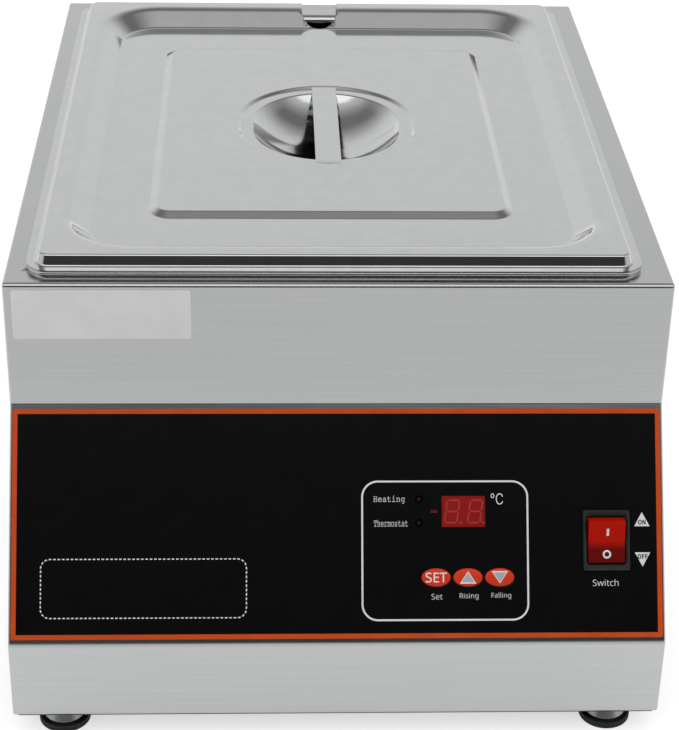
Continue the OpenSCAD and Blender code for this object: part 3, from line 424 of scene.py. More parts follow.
def buildSky(s):
    world = bpy.data.worlds.new("studio")
    bpy.context.scene.world = world
    world.use_nodes = True
    tree = world.node_tree
    tree.nodes.clear()
    parts = partsOf(tree, addNode(tree, "ShaderNodeTexCoord", {}).outputs["Generated"])
    angle = calc(tree, "ARCTAN2", parts["Z"], parts["Y"])
    ramp = addNode(tree, "ShaderNodeValToRGB", {"Fac": mapOver(tree, angle, (0.0, math.pi, 0.0, 1.0))})
    stops = ramp.color_ramp.elements
    while len(stops) < len(s.overTop):
        stops.new(0.5)
    for stop, (degrees, light) in zip(stops, s.overTop):
        stop.position, stop.color = degrees / 180, (light, light, light, 1)
    side = mapOver(tree, calc(tree, "ABSOLUTE", parts["X"]), s.side, interpolation_type="SMOOTHSTEP")
    sky = mixColours(tree, side, ramp, mapOver(tree, parts["X"], s.sideLight))
    leaning = addNode(tree, "ShaderNodeVectorMath",
                      {0: sky, "Scale": mapOver(tree, parts["X"], s.lean)}, operation="SCALE")
    rays = addNode(tree, "ShaderNodeLightPath", {}).outputs
    plain = calc(tree, "MAXIMUM", rays["Is Camera Ray"], rays["Is Diffuse Ray"])
    seen = mixColours(tree, plain, leaning, (1, 1, 1, 1))
    light = addNode(tree, "ShaderNodeBackground", {"Strength": 1.0, "Color": seen})
    addNode(tree, "ShaderNodeOutputWorld", {"Surface": light})


def buildFloor(s):
    half = s.floorSize / 2
    floor = makeMesh("floor", [(-half, -half, 0), (half, -half, 0), (half, half, 0), (-half, half, 0)], [(0, 1, 2, 3)])
    paper, tree, shader = startMaterial("mattPaperSweep", s.floorColour, 0.9, specular=0.0)
    rays = addNode(tree, "ShaderNodeLightPath", {}).outputs
    mirrored = calc(tree, "MAXIMUM", rays["Is Glossy Ray"], rays["Is Transmission Ray"])
    glow = calc(tree, "MULTIPLY_ADD", rays["Is Camera Ray"], s.floorGlow,
                calc(tree, "MULTIPLY", mirrored, s.floorMirrored))
    # The paper's light falls off in front of the machine, so that the upper face mirrors a little less of it
    fade = mapOver(tree, partsOf(tree, placeOn(tree))["Y"], s.floorFade)
    shade = mixColours(tree, fade, (0, 0, 0, 1), toLinear(s.floorColour))
    feed(tree, shader, {"Base Color": shade, "Emission Color": (1, 1, 1, 1), "Emission Strength": glow})
    floor.data.materials.append(paper)


# Finishes

# Stainless sheet 1.4301, belt ground: grey with fine lines that run across the machine. Real lines are under 0.1 mm,
# and they are drawn at 0.8 mm so that they show
groundSteel = brushedMetal("beltGroundSteel", "C5C6C7", "CBCCCD", 0.2, (0.012, 1, 1), 0.8, 0.0016)
# The same sheet on the sides, ground from front to rear
groundSteelSide = brushedMetal("beltGroundSteelSide", "C5C6C7", "CBCCCD", 0.2, (1, 0.012, 1), 0.8, 0.0016)
# Pressed stainless sheet, polished: soft clear reflections with the slight waves that pressing leaves
pressedSteel = brushedMetal("polishedPressedSteel", "D3D4D5", "D8D9DA", 0.09, (1, 1, 1), 9.0, 0.0, 0.03)
# Deep-drawn stainless sheet, satin: softer reflections, slight waves and faint lines up the walls
drawnSteel = brushedMetal("satinDrawnSteel", "C8C9CA", "CDCECF", 0.17, (1, 1, 0.05), 0.7, 0.0, 0.03)
# The sheet under the case, plain and dull, with painted shade: its colour is dark to stand for the shade under the
# case, so that its front edge draws the dark line below the front
dullShadedSteel = brushedMetal("dullUnderSheet", "3A3B3C", "444546", 0.5, (0.05, 1, 1), 1.0, 0.003)
# Aluminium sheet 1050, as rolled: pale, with rolling lines from front to rear
rolledAluminium = brushedMetal("rolledAluminium", "B4B6B9", "C6C8CA", 0.36, (1, 0.02, 0.2), 0.6, 0.003)
# Zinc-coated steel: bluish grey with faint grain patches
zincCoat = brushedMetal("zincCoatedSteel", "A4A8AC", "B6B9BC", 0.34, (1, 1, 1), 3.0, 0.002)
# Nickel plate on the pressed cups: darker mirror than the sheet
nickelPlate = brushedMetal("nickelPlate", "929394", "A0A1A2", 0.16, (1, 1, 0.2), 0.6, 0.001)
# Tinned brass blades: warm yellow, dull
dullBrass = brushedMetal("stampedBrass", "B08D46", "C9A55A", 0.32, (1, 1, 0.1), 0.5, 0.001)
# Polyester control film, printed black behind its face: deep black with a satin sheen and a fine orange-peel grain
controlFilm = mouldedPlastic("printedPolyesterFilm", "060607", "08080A", 0.3, 0.35, 0.0012, specular=0.14)
# Screen-printed inks: matt, with the slight mottling of a thin coat
whiteInk = mouldedPlastic("whiteScreenInk", "D2D4D4", "DEE0E0", 0.5, 0.4, 0.0006)
orangeInk = mouldedPlastic("orangeScreenInk", "BE440F", "C64A12", 0.42, 0.4, 0.0006, specular=0.15)
greyInk = mouldedPlastic("greyScreenInk", "9AA1AC", "A6ADB8", 0.5, 0.4, 0.0006)
roseInk = mouldedPlastic("roseScreenInk", "E6D2CE", "F0DEDA", 0.5, 0.4, 0.0006)
# Moulded ABS keys: orange-red, glossy, with a shallow moulding grain
keyPlastic = mouldedPlastic("glossMouldedABS", "C8300C", "D2370E", 0.26, 0.5, 0.001, specular=0.3)
# Polycarbonate rocker: deep red, glossy, and darker in its lower half, which lies in the shade of the frame
rockerPlastic, tree, shader = startMaterial("dyedPolycarbonate", "A81408", 0.2, specular=0.05)
shadeEnds = (0.0842, 0.0876)
share = mapOver(tree, partsOf(tree, placeOn(tree))["Z"], (*shadeEnds, 0.0, 1.0))
feed(tree, shader, {"Base Color": tint(tree, share, "640E0C", "B01606", 0.0, 1.0)})
bumpOn(tree, shader, grainOf(tree, 0.6, detail=3.0), 0.0008)
# Glass-filled nylon frame: near black with a spark-eroded grain
nylonGrain = mouldedPlastic("eroded66Nylon", "1D1F20", "262929", 0.48, 0.25, 0.004, specular=0.35)
# Acrylic display filter: dark red and glossy
redFilter = mouldedPlastic("redAcrylicFilter", "8A1212", "961717", 0.2, 2.0, 0.0004, specular=0.2)
# Unlit light-emitting parts: the segments just paler than the filter, the bar dull red, the lamps nearly black
dimSegment = mouldedPlastic("unlitSegment", "9A2A20", "A43228", 0.3, 1.0, 0.0004)
dimBar = mouldedPlastic("unlitMinusBar", "561C1A", "60211E", 0.25, 1.0, 0.0004, specular=0.1)
dimLamp = mouldedPlastic("unlitLamp", "1C0B0A", "280F0D", 0.3, 0.6, 0.001, specular=0.2)
# Vulcanised rubber: black, matt, slightly dusty
footRubber = mouldedPlastic("mouldedRubber", "0A0A0A", "141414", 0.62, 0.5, 0.006)
# Silver polyester label with nothing printed on it: paler and smoother than the sheet
labelFilm = mouldedPlastic("satinSilverLabel", "DEDEDF", "E6E6E7", 0.42, 0.5, 0.0005, metallic=0.1)
# Inside and at the rear: black nylon, rust-red silicone, cream felt, green lacquer, white nylon, brown phenolic
glandNylon = mouldedPlastic("mouldedNylonGland", "101112", "191A1B", 0.45, 0.4, 0.003)
siliconeMat = mouldedPlastic("pressedSiliconeMat", "8E3A1C", "A24420", 0.6, 1.2, 0.03)
glassFelt = mouldedPlastic("needledGlassFelt", "D8D4C4", "EAE7DA", 0.95, 1.6, 0.35)
boardLacquer = mouldedPlastic("solderMaskedLaminate", "0E3B1C", "155028", 0.3, 1.0, 0.002)
whiteNylon = mouldedPlastic("naturalNylon", "D9D8CE", "E6E5DC", 0.5, 0.6, 0.003)
phenolic = mouldedPlastic("mouldedPhenolic", "1A1512", "261E19", 0.4, 0.6, 0.003)
blueCase = mouldedPlastic("pottedBlueCase", "183E86", "1F4C9E", 0.35, 0.6, 0.002)
varnished = mouldedPlastic("varnishedLaminations", "3A2416", "5A3A22", 0.4, 0.5, 0.02)
print("finishes made")


# Case: one skin of sheet, folded from the rear lip over the top and down the front, with the sides welded in

caseSizes = dict(
    width=286.0, rearY=196.0, upperY=-151.0, frontY=-210.0,
    bottomZ=10.5, kneeZ=49.5, creaseZ=136.0, topZ=194.5,
    sheet=1.0, edgeBend=2.0, kneeBend=6.0, creaseBend=1.2, sideRound=1.1, rearBend=1.2,
    lip=14.0, returnEdge=7.0, flangeEdge=130.0,
    wellHalfX=123.3, wellHalfY=153.3, wellCorner=30.3, wellY=18.5,
    holes=[(117.2, 60.2, 9.65, 12.6), (54.7, 47.4, 10.0, 7.25), (41.8, 47.4, 2.0, 1.1),
           (42.6, 76.1, 6.8, 4.3), (56.5, 76.1, 6.8, 4.3), (70.4, 76.1, 6.8, 4.3), (35.3, 42.2, 1.9, 1.9),
           (35.3, 52.4, 1.9, 1.9)],
    ovals=[(42.6, 76.1), (56.5, 76.1), (70.4, 76.1)], holeCorner=0.4, cutZ=(-4, 4),
)
slopeRun, slopeDrop = caseSizes["upperY"] - caseSizes["frontY"], caseSizes["creaseZ"] - caseSizes["kneeZ"]
slopeLength = math.hypot(slopeRun, slopeDrop)
upSlope = Vector((0, slopeRun / slopeLength, slopeDrop / slopeLength))
outOfSlope = Vector((0, -upSlope.z, upSlope.y))


def onSlope(x, down, out=0.0):
    # A matrix that lays X and Y on the control face, with Y up it and Z out of the case
    axes = Matrix(((1, 0, 0), upSlope, outOfSlope)).transposed().to_4x4()
    at = Vector((x, caseSizes["upperY"], caseSizes["creaseZ"])) - upSlope * down + outOfSlope * out
    return Matrix.Translation(at * mm) @ axes


def buildCase(s):
    corners = [(s.rearY, s.topZ - s.lip), (s.rearY, s.topZ), (s.upperY, s.topZ),
               (s.upperY, s.creaseZ), (s.frontY, s.kneeZ), (s.frontY, s.bottomZ),
               (s.frontY + s.returnEdge, s.bottomZ), (s.rearY, s.bottomZ)]
    radii = [0, s.edgeBend, s.edgeBend, s.creaseBend, s.kneeBend, s.edgeBend, 0, s.rearBend]
    steps, roundSteps, holeSteps, ovalSteps = 8, 5, 14, 48
    hair = 0.005
    half, r = s.width / 2, s.sideRound
    quarter = [90 * k / roundSteps for k in range(roundSteps + 1)]
    columns = [(-x, -inset) for x, inset in arcOf(r, quarter, (half - r, -r))] + [(-s.flangeEdge, 0.0)]
    columns += [(-x, inset) for x, inset in reversed(columns)]
    points, lines = [], []
    for x, inset in columns:
        path = bendPath(corners, radii, inset, steps, closed=True)
        lines.append(range(len(points), len(points) + len(path)))
        points += [(x, y, z) for y, z in path]
    count = len(lines[0])
    topStart, topEnd = 1 + steps, 2 + steps          # the flat top lies between these points of the path
    openStart = 1 + 5 * (steps + 1)                  # from the return's end round the bottom to the lip's end
    middle = len(columns) // 2 - 1
    faces = []
    for c in range(len(columns) - 1):
        for j in range(count):
            if j == topStart and roundSteps <= c < len(columns) - 1 - roundSteps:
                continue
            if c == middle and j >= openStart:
                continue
            n = (j + 1) % count
            faces.append((lines[c][j], lines[c][n], lines[c + 1][n], lines[c + 1][j]))
    # The flat top with the opening that the pan hangs in
    inner = range(roundSteps, len(columns) - roundSteps)
    outline = [lines[c][topEnd] for c in inner] + [lines[c][topStart] for c in reversed(inner)]
    hole = range(len(points), len(points) + 4 * (holeSteps + 1))
    points += roundRectRing(s.wellHalfX, s.wellHalfY, s.wellCorner, s.topZ, (0, s.wellY), holeSteps)
    faces += fillLoops(points, [outline, hole[::-1]], (0, 0, 1))
    # The two side sheets
    for line, facing in ((lines[0], -1), (lines[-1], 1)):
        faces += fillLoops(points, [line], (facing, 0, 0))
    case = sheetOf(makeMesh("caseSkin", points, faces), s.sheet)
    # The holes behind the film: switch, window, minus bar, keys and lamps, each with X, down, half width, half length
    for x, down, halfW, halfL in s.holes:
        if halfW == halfL:
            loops = [circleRing(halfW, z, steps=32) for z in s.cutZ]
        elif (x, down) in s.ovals:
            loops = [ovalRing(halfW, halfL, z, ovalSteps) for z in s.cutZ]
        else:
            loops = [roundRectRing(halfW, halfL, s.holeCorner, z) for z in s.cutZ]
        cutBy(case, place(solidOf("cutter", loops), onSlope(x, down)))
    smooth(case, 35)
    # The flat top shades as one plane up to its bends
    for edge in case.data.edges:
        if all(case.data.vertices[i].co.z > (s.topZ - hair) * mm for i in edge.vertices):
            edge.use_edge_sharp = True
    bake(case)
    for steel in (groundSteel, groundSteelSide):
        case.data.materials.append(steel)
    for face in case.data.polygons:
        face.material_index = int(abs(face.normal.x) > 0.7)
    fit(case, None, "case", "case_steel", "body_wrap", "side_panel_left", "side_panel_right")


# Food pan: a turned-down rim and a deep-drawn body

panSizes = dict(
    x=-1.6, y=18.5, halfX=132.5, halfY=162.5, rimCorner=10.5, rimEdge=1.6,
    rimWidth=12.5, mouth=4.0, corner=27.0, floorBend=14.0, draft=4.0,
    caseTop=194.5, rimTop=196.7, floor=96.7, sheet=0.8,
)


def buildPan(s):
    edge = bendPath([(0, s.caseTop), (0, s.rimTop), (s.rimCorner, s.rimTop)], [0, s.rimEdge, 0], steps=7)
    wall = bendPath([(-s.mouth, s.rimTop), (0, s.rimTop), (s.draft, s.floor), (s.corner, s.floor)],
                    [0, s.mouth, s.floorBend, 0], steps=9)
    # The rim's edge follows the rim's outline, and the rest follows the body's
    rings = insetRings(edge[:-1], s.halfX, s.halfY, s.rimCorner, (s.x, s.y))
    rings += insetRings(wall[1:-1], s.halfX - s.rimWidth, s.halfY - s.rimWidth, s.corner, (s.x, s.y))
    pan = ringMesh("foodPan", rings, endCap=True)
    fit(bake(smooth(sheetOf(pan, s.sheet))), drawnSteel, "pan", "pan_steel", "pan")


# Lid: one pressed sheet. Every step is a round-cornered ring, from the flange in to the floor of the handle well

lidSizes = dict(
    x=-1.6, y=18.5, halfX=132.5, halfY=162.5, corner=10.0, sheet=0.8,
    flange=3.8, flangeTop=197.5, plateTop=202.3, lipBend=1.2, lipLean=1.8,
    recessInset=11.7, recessCorner=33.0, recessRun=14.3, recessDepth=8.2,
    shoulder=8.0, recessFoot=3.0, wallHalfAngle=20.0,
    plateauX=49.5, plateauY=57.8, plateauCorner=10.0, plateauRun=3.8, plateauRise=2.2, plateauBend=2.0,
    dish=43.6, dishStep=1.6, dishDrop=1.2, bowl=36.4, bowlDepth=15.2, bowlStretch=10.4,
    bowlAngle=47.0, bowlFloor=46.0, bowlEdge=1.6,
    dishBend=1.0, sheetEdge=0.2, notchWidth=19.3, notchLength=25.0, notchPast=5.0, cutZ=(180, 220),
    strap=1.2, strapHalfW=6.15, strapRound=0.7, strapEdge=0.22, ringSteps=(18, 60, 40),
)


def buildLid(s):
    recessZ = s.plateTop - s.recessDepth
    plateauZ = recessZ + s.plateauRise
    dishZ = plateauZ - s.dishDrop
    bowlZ = dishZ - s.bowlDepth
    # Where the rings lie, and the steps of their corners and of their sides along X and Y
    layout = ((s.x, s.y), *s.ringSteps)
    lip = bendPath([(0, s.flangeTop), (s.flange, s.flangeTop), (s.flange + s.lipLean, s.plateTop),
                    (s.corner, s.plateTop)], [0, s.lipBend, s.lipBend, 0], steps=6)
    roundOff = (s.shoulder + s.recessFoot) * math.tan(math.radians(s.wallHalfAngle))
    tilt = math.atan2(s.recessDepth, s.recessRun - roundOff)
    wall = bendPath([(-1, s.plateTop), (s.shoulder * math.tan(tilt / 2), s.plateTop),
                     (s.recessRun - s.recessFoot * math.tan(tilt / 2), recessZ), (s.recessCorner, recessZ)],
                    [0, s.shoulder, s.recessFoot, 0], steps=10)
    step = bendPath([(-1, recessZ), (0, recessZ), (s.plateauRun, plateauZ), (s.plateauCorner, plateauZ)],
                    [0, s.plateauBend, s.plateauBend, 0], steps=6)
    wallIn = s.bowlDepth / math.tan(math.radians(s.bowlAngle))
    well = bendPath([(s.dish + 1, plateauZ), (s.dish, plateauZ), (s.dish - s.dishStep, dishZ),
                     (s.bowl, dishZ), (s.bowl - wallIn, bowlZ), (0, bowlZ)],
                    [0, s.dishBend, s.dishBend, s.bowlEdge, s.bowlFloor, 0], steps=12)
    rings = insetRings(lip[:-1], s.halfX, s.halfY, s.corner, *layout)
    rings += insetRings(wall[1:-1], s.halfX - s.recessInset, s.halfY - s.recessInset, s.recessCorner, *layout)
    rings += insetRings(step[1:-1], s.halfX - s.plateauX, s.halfY - s.plateauY, s.plateauCorner, *layout)
    rings += [roundRectRing(r, r + s.bowlStretch / 2, r, z, *layout) for r, z in well[1:-1]]
    lid = sheetOf(ringMesh("lidSheet", rings, endCap=True), s.sheet)
    rear = s.y + s.halfY
    radius = s.notchWidth / 2
    middle = rear + radius - s.notchLength
    outline = arcOf(radius, range(180, 361, 6), (s.x, middle))
    outline += [(s.x + side * radius, rear + s.notchPast) for side in (1, -1)]
    cutBy(lid, solidOf("cutter", [[(x, y, z) for x, y in outline] for z in s.cutZ]))
    lid = bake(smooth(softEdges(outwards(lid), s.sheetEdge, 2, 50)))
    fit(lid, pressedSteel, "lid", "lid_steel", "lid_shell")

    # The strap: a flat bar welded across the well, its top edges broken
    half = s.dish - s.dishStep + s.bowlStretch / 2
    top = dishZ + s.strap
    profile = bendPath([(-half, dishZ), (half, dishZ), (half, top), (-half, top)],
                       [0, 0, s.strapRound, s.strapRound], steps=5, closed=True)
    strap = solidOf("handleStrap", [[(x, y + s.y, z) for y, z in profile]
                                    for x in (s.x - s.strapHalfW, s.x + s.strapHalfW)])
    fit(bake(smooth(softEdges(strap, s.strapEdge, 2, 60))), pressedSteel, "lid", "lid_steel", "lid_handle")


# Heated well under the pan: bent aluminium

wellSizes = dict(
    y=18.5, halfX=123.3, halfY=153.3, corner=30.3, flange=11.5, flangeTop=193.5,
    floor=94.4, mouth=3.0, floorBend=8.0, sheet=1.5, stud=2.0, studLength=9.0,
    studX=80.0, studY=105.0,
)


def buildWell(s):
    path = bendPath([(-s.flange, s.flangeTop), (0, s.flangeTop), (0, s.floor), (s.corner, s.floor)],
                    [0, s.mouth, s.floorBend, 0], steps=8)
    rings = insetRings(path[:-1], s.halfX, s.halfY, s.corner, (0, s.y))
    well = sheetOf(ringMesh("heatedWell", rings, endCap=True), s.sheet)
    low = s.floor - s.sheet
    studs = [ringMesh("stud", [circleRing(s.stud, z, (sx * s.studX, s.y + sy * s.studY), 24)
                               for z in (low - s.studLength, low)], True, True) for sx in (-1, 1) for sy in (-1, 1)]
    well = bake(smooth(join("heatedWell", [well] + studs)))
    fit(well, rolledAluminium, "case", "well_aluminium", "heater_box")


# Print on the control film. Places are millimetres right of the centre and down from the crease

printSizes = dict(
    filmTop=0.4, lift=0.03,
    filmHalfW=141.75, filmFrom=2.4, filmTo=102.4, border=2.2,
    frame=(10.4, 82.8, 34.3, 94.5), frameCorner=6.8, frameLine=0.8,
    dots=(-129.0, -40.0, 67.7, 93.1), dotsCorner=4.0, dotPitch=1.9, dotLength=1.1, dotWidth=0.5,
    words=[("Heating", "mono", 22.2, 42.2, 13.7, 3.5), ("Thermostat", "mono", 22.9, 52.5, 14.9, 2.9),
           ("Set", "sans", 42.9, 84.4, 4.8, 0), ("Rising", "sans", 56.9, 84.4, 8.2, 0),
           ("Falling", "sans", 71.0, 84.2, 8.6, 0), ("Switch", "sans", 116.8, 78.6, 11.3, 0),
           ("\u2103", "sans", 69.4, 42.0, 5.4, 4.9)],
    alphabets=dict(mono=(0x1D670, 0x1D68A), sans=(0x1D5A0, 0x1D5BA), bold=(0x1D5D4, 0x1D5EE)),
    thin=-0.009, bold=0.01, smallHeight=2.1,
    marks=[("ON", 133.1, 51.0, 1.3, 3.3), ("OFF", 133.2, 68.6, -1.3, 4.4)], markHalf=3.4, markHeight=6.2,
)


def wordMesh(words, alphabet, width, height, bold):
    # The built-in font's own monospace, plain and bold letters stand in its mathematical alphabets
    capital, small = printSizes["alphabets"][alphabet]
    letters = [chr((capital if c.isupper() else small) + ord(c) - ord("A" if c.isupper() else "a"))
               if c.isalpha() and c.isascii() else c for c in words]
    text = bpy.data.curves.new("words", "FONT")
    text.body, text.align_x, text.align_y = "".join(letters), "CENTER", "CENTER"
    text.size, text.offset, text.resolution_u = 1.0, bold, 6
    piece = bake(linkObject("words", text))
    xs = [v.co.x for v in piece.data.vertices]
    ys = [v.co.y for v in piece.data.vertices]
    across = width * mm / (max(xs) - min(xs))
    upward = height * mm / (max(ys) - min(ys)) if height else across
    centre = Vector(((max(xs) + min(xs)) / 2, (max(ys) + min(ys)) / 2, 0))
    piece.data.transform(Matrix.Diagonal((across, upward, across, 1)) @ Matrix.Translation(-centre))
    return piece


def frameLoop(bounds, corner, grow=0.0):
    x0, x1, d0, d1 = bounds
    centre = ((x0 + x1) / 2, -(d0 + d1) / 2)
    return roundRectRing((x1 - x0) / 2 + grow, (d1 - d0) / 2 + grow, corner + grow, 0, centre, 10)


def triangleMesh(x, down, half, height, up):
    tip = height / 2 if up else -height / 2
    points = [(x - half, -down - tip, 0), (x + half, -down - tip, 0), (x, -down + tip, 0)]
    return makeMesh("mark", points, [(0, 1, 2) if up else (0, 2, 1)])


dashTree, dashIn = newGroup("dashesAlongPath", Pitch=0.002, Length=0.001, Width=0.0005, Material="Material")
dashPoints = addNode(dashTree, "GeometryNodeResampleCurve",
                     {"Curve": dashIn["Geometry"], "Length": dashIn["Pitch"]}, mode="LENGTH")
dashTurn = addNode(dashTree, "FunctionNodeAlignRotationToVector",
                   {"Vector": addNode(dashTree, "GeometryNodeInputTangent", {})}, axis="X")
dashShape = addNode(dashTree, "GeometryNodeMeshGrid", {
    "Vertices X": 2, "Vertices Y": 2, "Size X": dashIn["Length"], "Size Y": dashIn["Width"]})
copyOnPoints(dashTree, dashIn, dashPoints, dashShape, dashTurn)


def pathCurve(name, loop):
    curve = bpy.data.curves.new(name, "CURVE")
    curve.dimensions = "3D"
    spline = curve.splines.new("POLY")
    spline.points.add(len(loop) - 1)
    for point, (x, y, z) in zip(spline.points, loop):
        point.co = (x * mm, y * mm, z * mm, 1)
    spline.use_cyclic_u = True
    return linkObject(name, curve)


def buildPrint(s):
    film = (-s.filmHalfW, s.filmHalfW, s.filmFrom, s.filmTo)
    lay = onSlope(0, 0, s.filmTop + s.lift)
    border = ringMesh("filmBorder", [frameLoop(film, 1.0, -0.05), frameLoop(film, 1.0, -s.border)])
    fit(place(border, lay), orangeInk, "case", "film_black")

    pieces = [ringMesh("frame", [frameLoop(s.frame, s.frameCorner, side * s.frameLine / 2)
                                 for side in (1, -1)])]
    for words, alphabet, x, down, width, height in s.words:
        piece = wordMesh(words, alphabet, width, height, s.thin)
        pieces.append(place(piece, shift(x, -down)))
    # A word that lies below its mark's middle stands on a triangle that points up
    for _, x, down, move, _ in s.marks:
        pieces.append(triangleMesh(x, down, s.markHalf, s.markHeight, move > 0))
    dots = runGroup(pathCurve("dots", frameLoop(s.dots, s.dotsCorner)), dashTree,
                    Pitch=s.dotPitch * mm, Length=s.dotLength * mm, Width=s.dotWidth * mm, Material=whiteInk)
    dots.data.materials.clear()
    pieces.append(dots)
    fit(place(join("filmPrint", pieces), lay), whiteInk, "case", "film_black")

    small = [place(wordMesh(words, "bold", width, s.smallHeight, s.bold), shift(x, -down - move, s.lift))
             for words, x, down, move, width in s.marks]
    fit(place(join("markWords", small), lay), controlFilm, "case", "film_black")


# Display window, its unlit segments and the minus bar

displaySizes = dict(
    x=54.7, down=47.4, halfW=9.95, halfL=7.2, lean=0.14,
    edge=((0, -1.2), (0, -0.1), (0.1, 0.0)), corner=0.2, segmentLift=0.03,
    digits=(-4.9, 5.2), digitHalfW=2.7, digitHalfL=4.9, stroke=0.75, gap=0.25, point=0.55, pointGap=0.9,
    minus=(41.8, 47.4, 1.6, 0.7), minusZ=(-1.0, 0.2), minusCorner=0.3, minusLift=0.1,
)


def segmentBars(cx, s):
    # Seven six-sided bars of one digit, leaning to the right
    w, h, t, g = s.digitHalfW, s.digitHalfL, s.stroke / 2, s.gap
    flat = [(cx, y, w, False) for y in (h, 0, -h)]
    upright = [(x, y, h / 2, True) for x in (cx - w, cx + w) for y in (h / 2, -h / 2)]
    bars = []
    for x, y, reach, standing in flat + upright:
        a = reach - g
        shape = [(-a, 0), (-a + t, t), (a - t, t), (a, 0), (a - t, -t), (-a + t, -t)]
        if standing:
            shape = [(v, u) for u, v in shape]
        points = [(x + u + s.lean * (y + v), y + v, 0) for u, v in shape]
        bars.append(outwards(makeMesh("bar", points, [range(6)[::-1] if standing else range(6)])))
    return bars


def upFacing(piece):
    # Flat prints face out of the panel
    def turnFaces(shape):
        for face in shape.faces:
            if face.normal.z < 0:
                face.normal_flip()
    return reshape(piece, turnFaces)


def buildDisplay(s):
    window = solidOf("displayWindow", [roundRectRing(s.halfW - d, s.halfL - d, s.corner - d / 2, z)
                                       for d, z in s.edge])
    fit(smooth(place(window, onSlope(s.x, s.down))), redFilter, "case", "window_red", "display_window")
    bars = [bar for cx in s.digits for bar in segmentBars(cx, s)]
    bars += [makeMesh("point", circleRing(s.point, 0, (cx + s.digitHalfW + s.pointGap, -s.digitHalfL), 16),
                      [tuple(range(16))]) for cx in s.digits]
    segments = upFacing(join("unlitSegments", bars))
    fit(place(segments, onSlope(s.x, s.down, s.segmentLift)), dimSegment, "case", "window_red")
    x, down, hw, hl = s.minus
    minus = solidOf("minusBar", [roundRectRing(hw, hl, s.minusCorner, z) for z in s.minusZ])
    fit(smooth(place(minus, onSlope(x, down, s.minusLift))), dimBar, "case", "lamp_red")


# Oval keys with a low crown, and the marks printed on them

keySizes = dict(
    x=56.5, down=76.1, pitch=13.9, halfW=6.5, halfL=4.0, foot=-2.2, top=1.2, crown=26.0,
    edge=0.45, edgeFall=9, steps=72, rings=(0, 0.012, 0.03, 0.055, 0.09, 0.13, 0.2, 0.3, 0.45, 0.6, 0.8, 0.98),
    bodies=("set_key", "up_key", "down_key"), lift=0.02,
    wordWidth=9.4, markHalf=3.6, markHeight=5.4, fillInset=0.72, fillShorter=1.6,
)


def crownHeight(x, y, s):
    return s.top - (s.crown - math.sqrt(s.crown ** 2 - x * x - y * y))


def drape(piece, s, cuts, lift):
    # Lays a flat mark on the crown of a key
    def raiseCrown(shape):
        bmesh.ops.triangulate(shape, faces=shape.faces)
        bmesh.ops.subdivide_edges(shape, edges=shape.edges, cuts=cuts, use_grid_fill=True)
        for vert in shape.verts:
            vert.co.z = (crownHeight(vert.co.x / mm, vert.co.y / mm, s) + lift) * mm
    return upFacing(reshape(piece, raiseCrown))


def buildKeys(s):
    for number, body in enumerate(s.bodies):
        at = onSlope(s.x + (number - 1) * s.pitch, s.down)
        rings = [ovalRing(s.halfW, s.halfL, s.foot, s.steps)]
        for shrink in s.rings:
            sink = s.edge * max(0, 1 - shrink * s.edgeFall) ** 2
            rings.append([(x, y, crownHeight(x, y, s) - sink) for x, y, _ in
                          ovalRing(s.halfW * (1 - shrink), s.halfL * (1 - shrink), 0, s.steps)])
        key = ringMesh("ovalKey_" + body, rings, True, True)
        fit(bake(smooth(place(key, at), 50)), keyPlastic, body, "key_red", body)
        if number == 0:
            mark = drape(wordMesh("SET", "sans", s.wordWidth, 0, printSizes["bold"]), s, 1, s.lift)
            fit(place(mark, at), whiteInk, body, "key_red").name = "setWord"
        else:
            for name, inset, lift, ink in (("edge", 0, s.lift, roseInk), ("fill", s.fillInset, 2 * s.lift, greyInk)):
                mark = triangleMesh(0, 0, s.markHalf - inset, s.markHeight - inset * s.fillShorter, number == 1)
                mark = drape(mark, s, 6, lift)
                fit(place(mark, at), ink, body, "key_red").name = body + "_" + name


# Rocker switch: a grained frame, its well, and the rocker with one half pressed in

switchSizes = dict(
    x=117.2, down=60.2, frameHalfW=10.25, frameHalfL=13.2, frameFrom=0.4, frameTop=2.4, corner=1.0, foot=0.1,
    bodyHalfW=9.35, bodyHalfL=12.3, bodyCorner=0.4, bodyBottom=-25.0,
    wellHalfW=8.45, wellHalfL=10.6, wellCorner=1.4, wellFloor=-7.6,
    rim=0.6, ledge=((0.75, 1.35, 2.2, 0.12), (0.55, 1.1, 2.2, 0.35), (0.15, 0.2, 1.6, 0.75), (0, 0, 1.4, 1.0)),
    pivot=-1.6, radius=10.3, face=3.9, skirt=4.0, skirtShare=0.9, faceShare=0.93, hollow=9.0, round=0.9,
    lowest=-20.0, tip=10.0, rockerHalfW=8.1, pin=1.5, pinOut=0.85,
    inkLift=0.04, bar=(0.3, 4.4, 0.55, 1.65), ring=(-5.3, 1.85, 1.05),
)


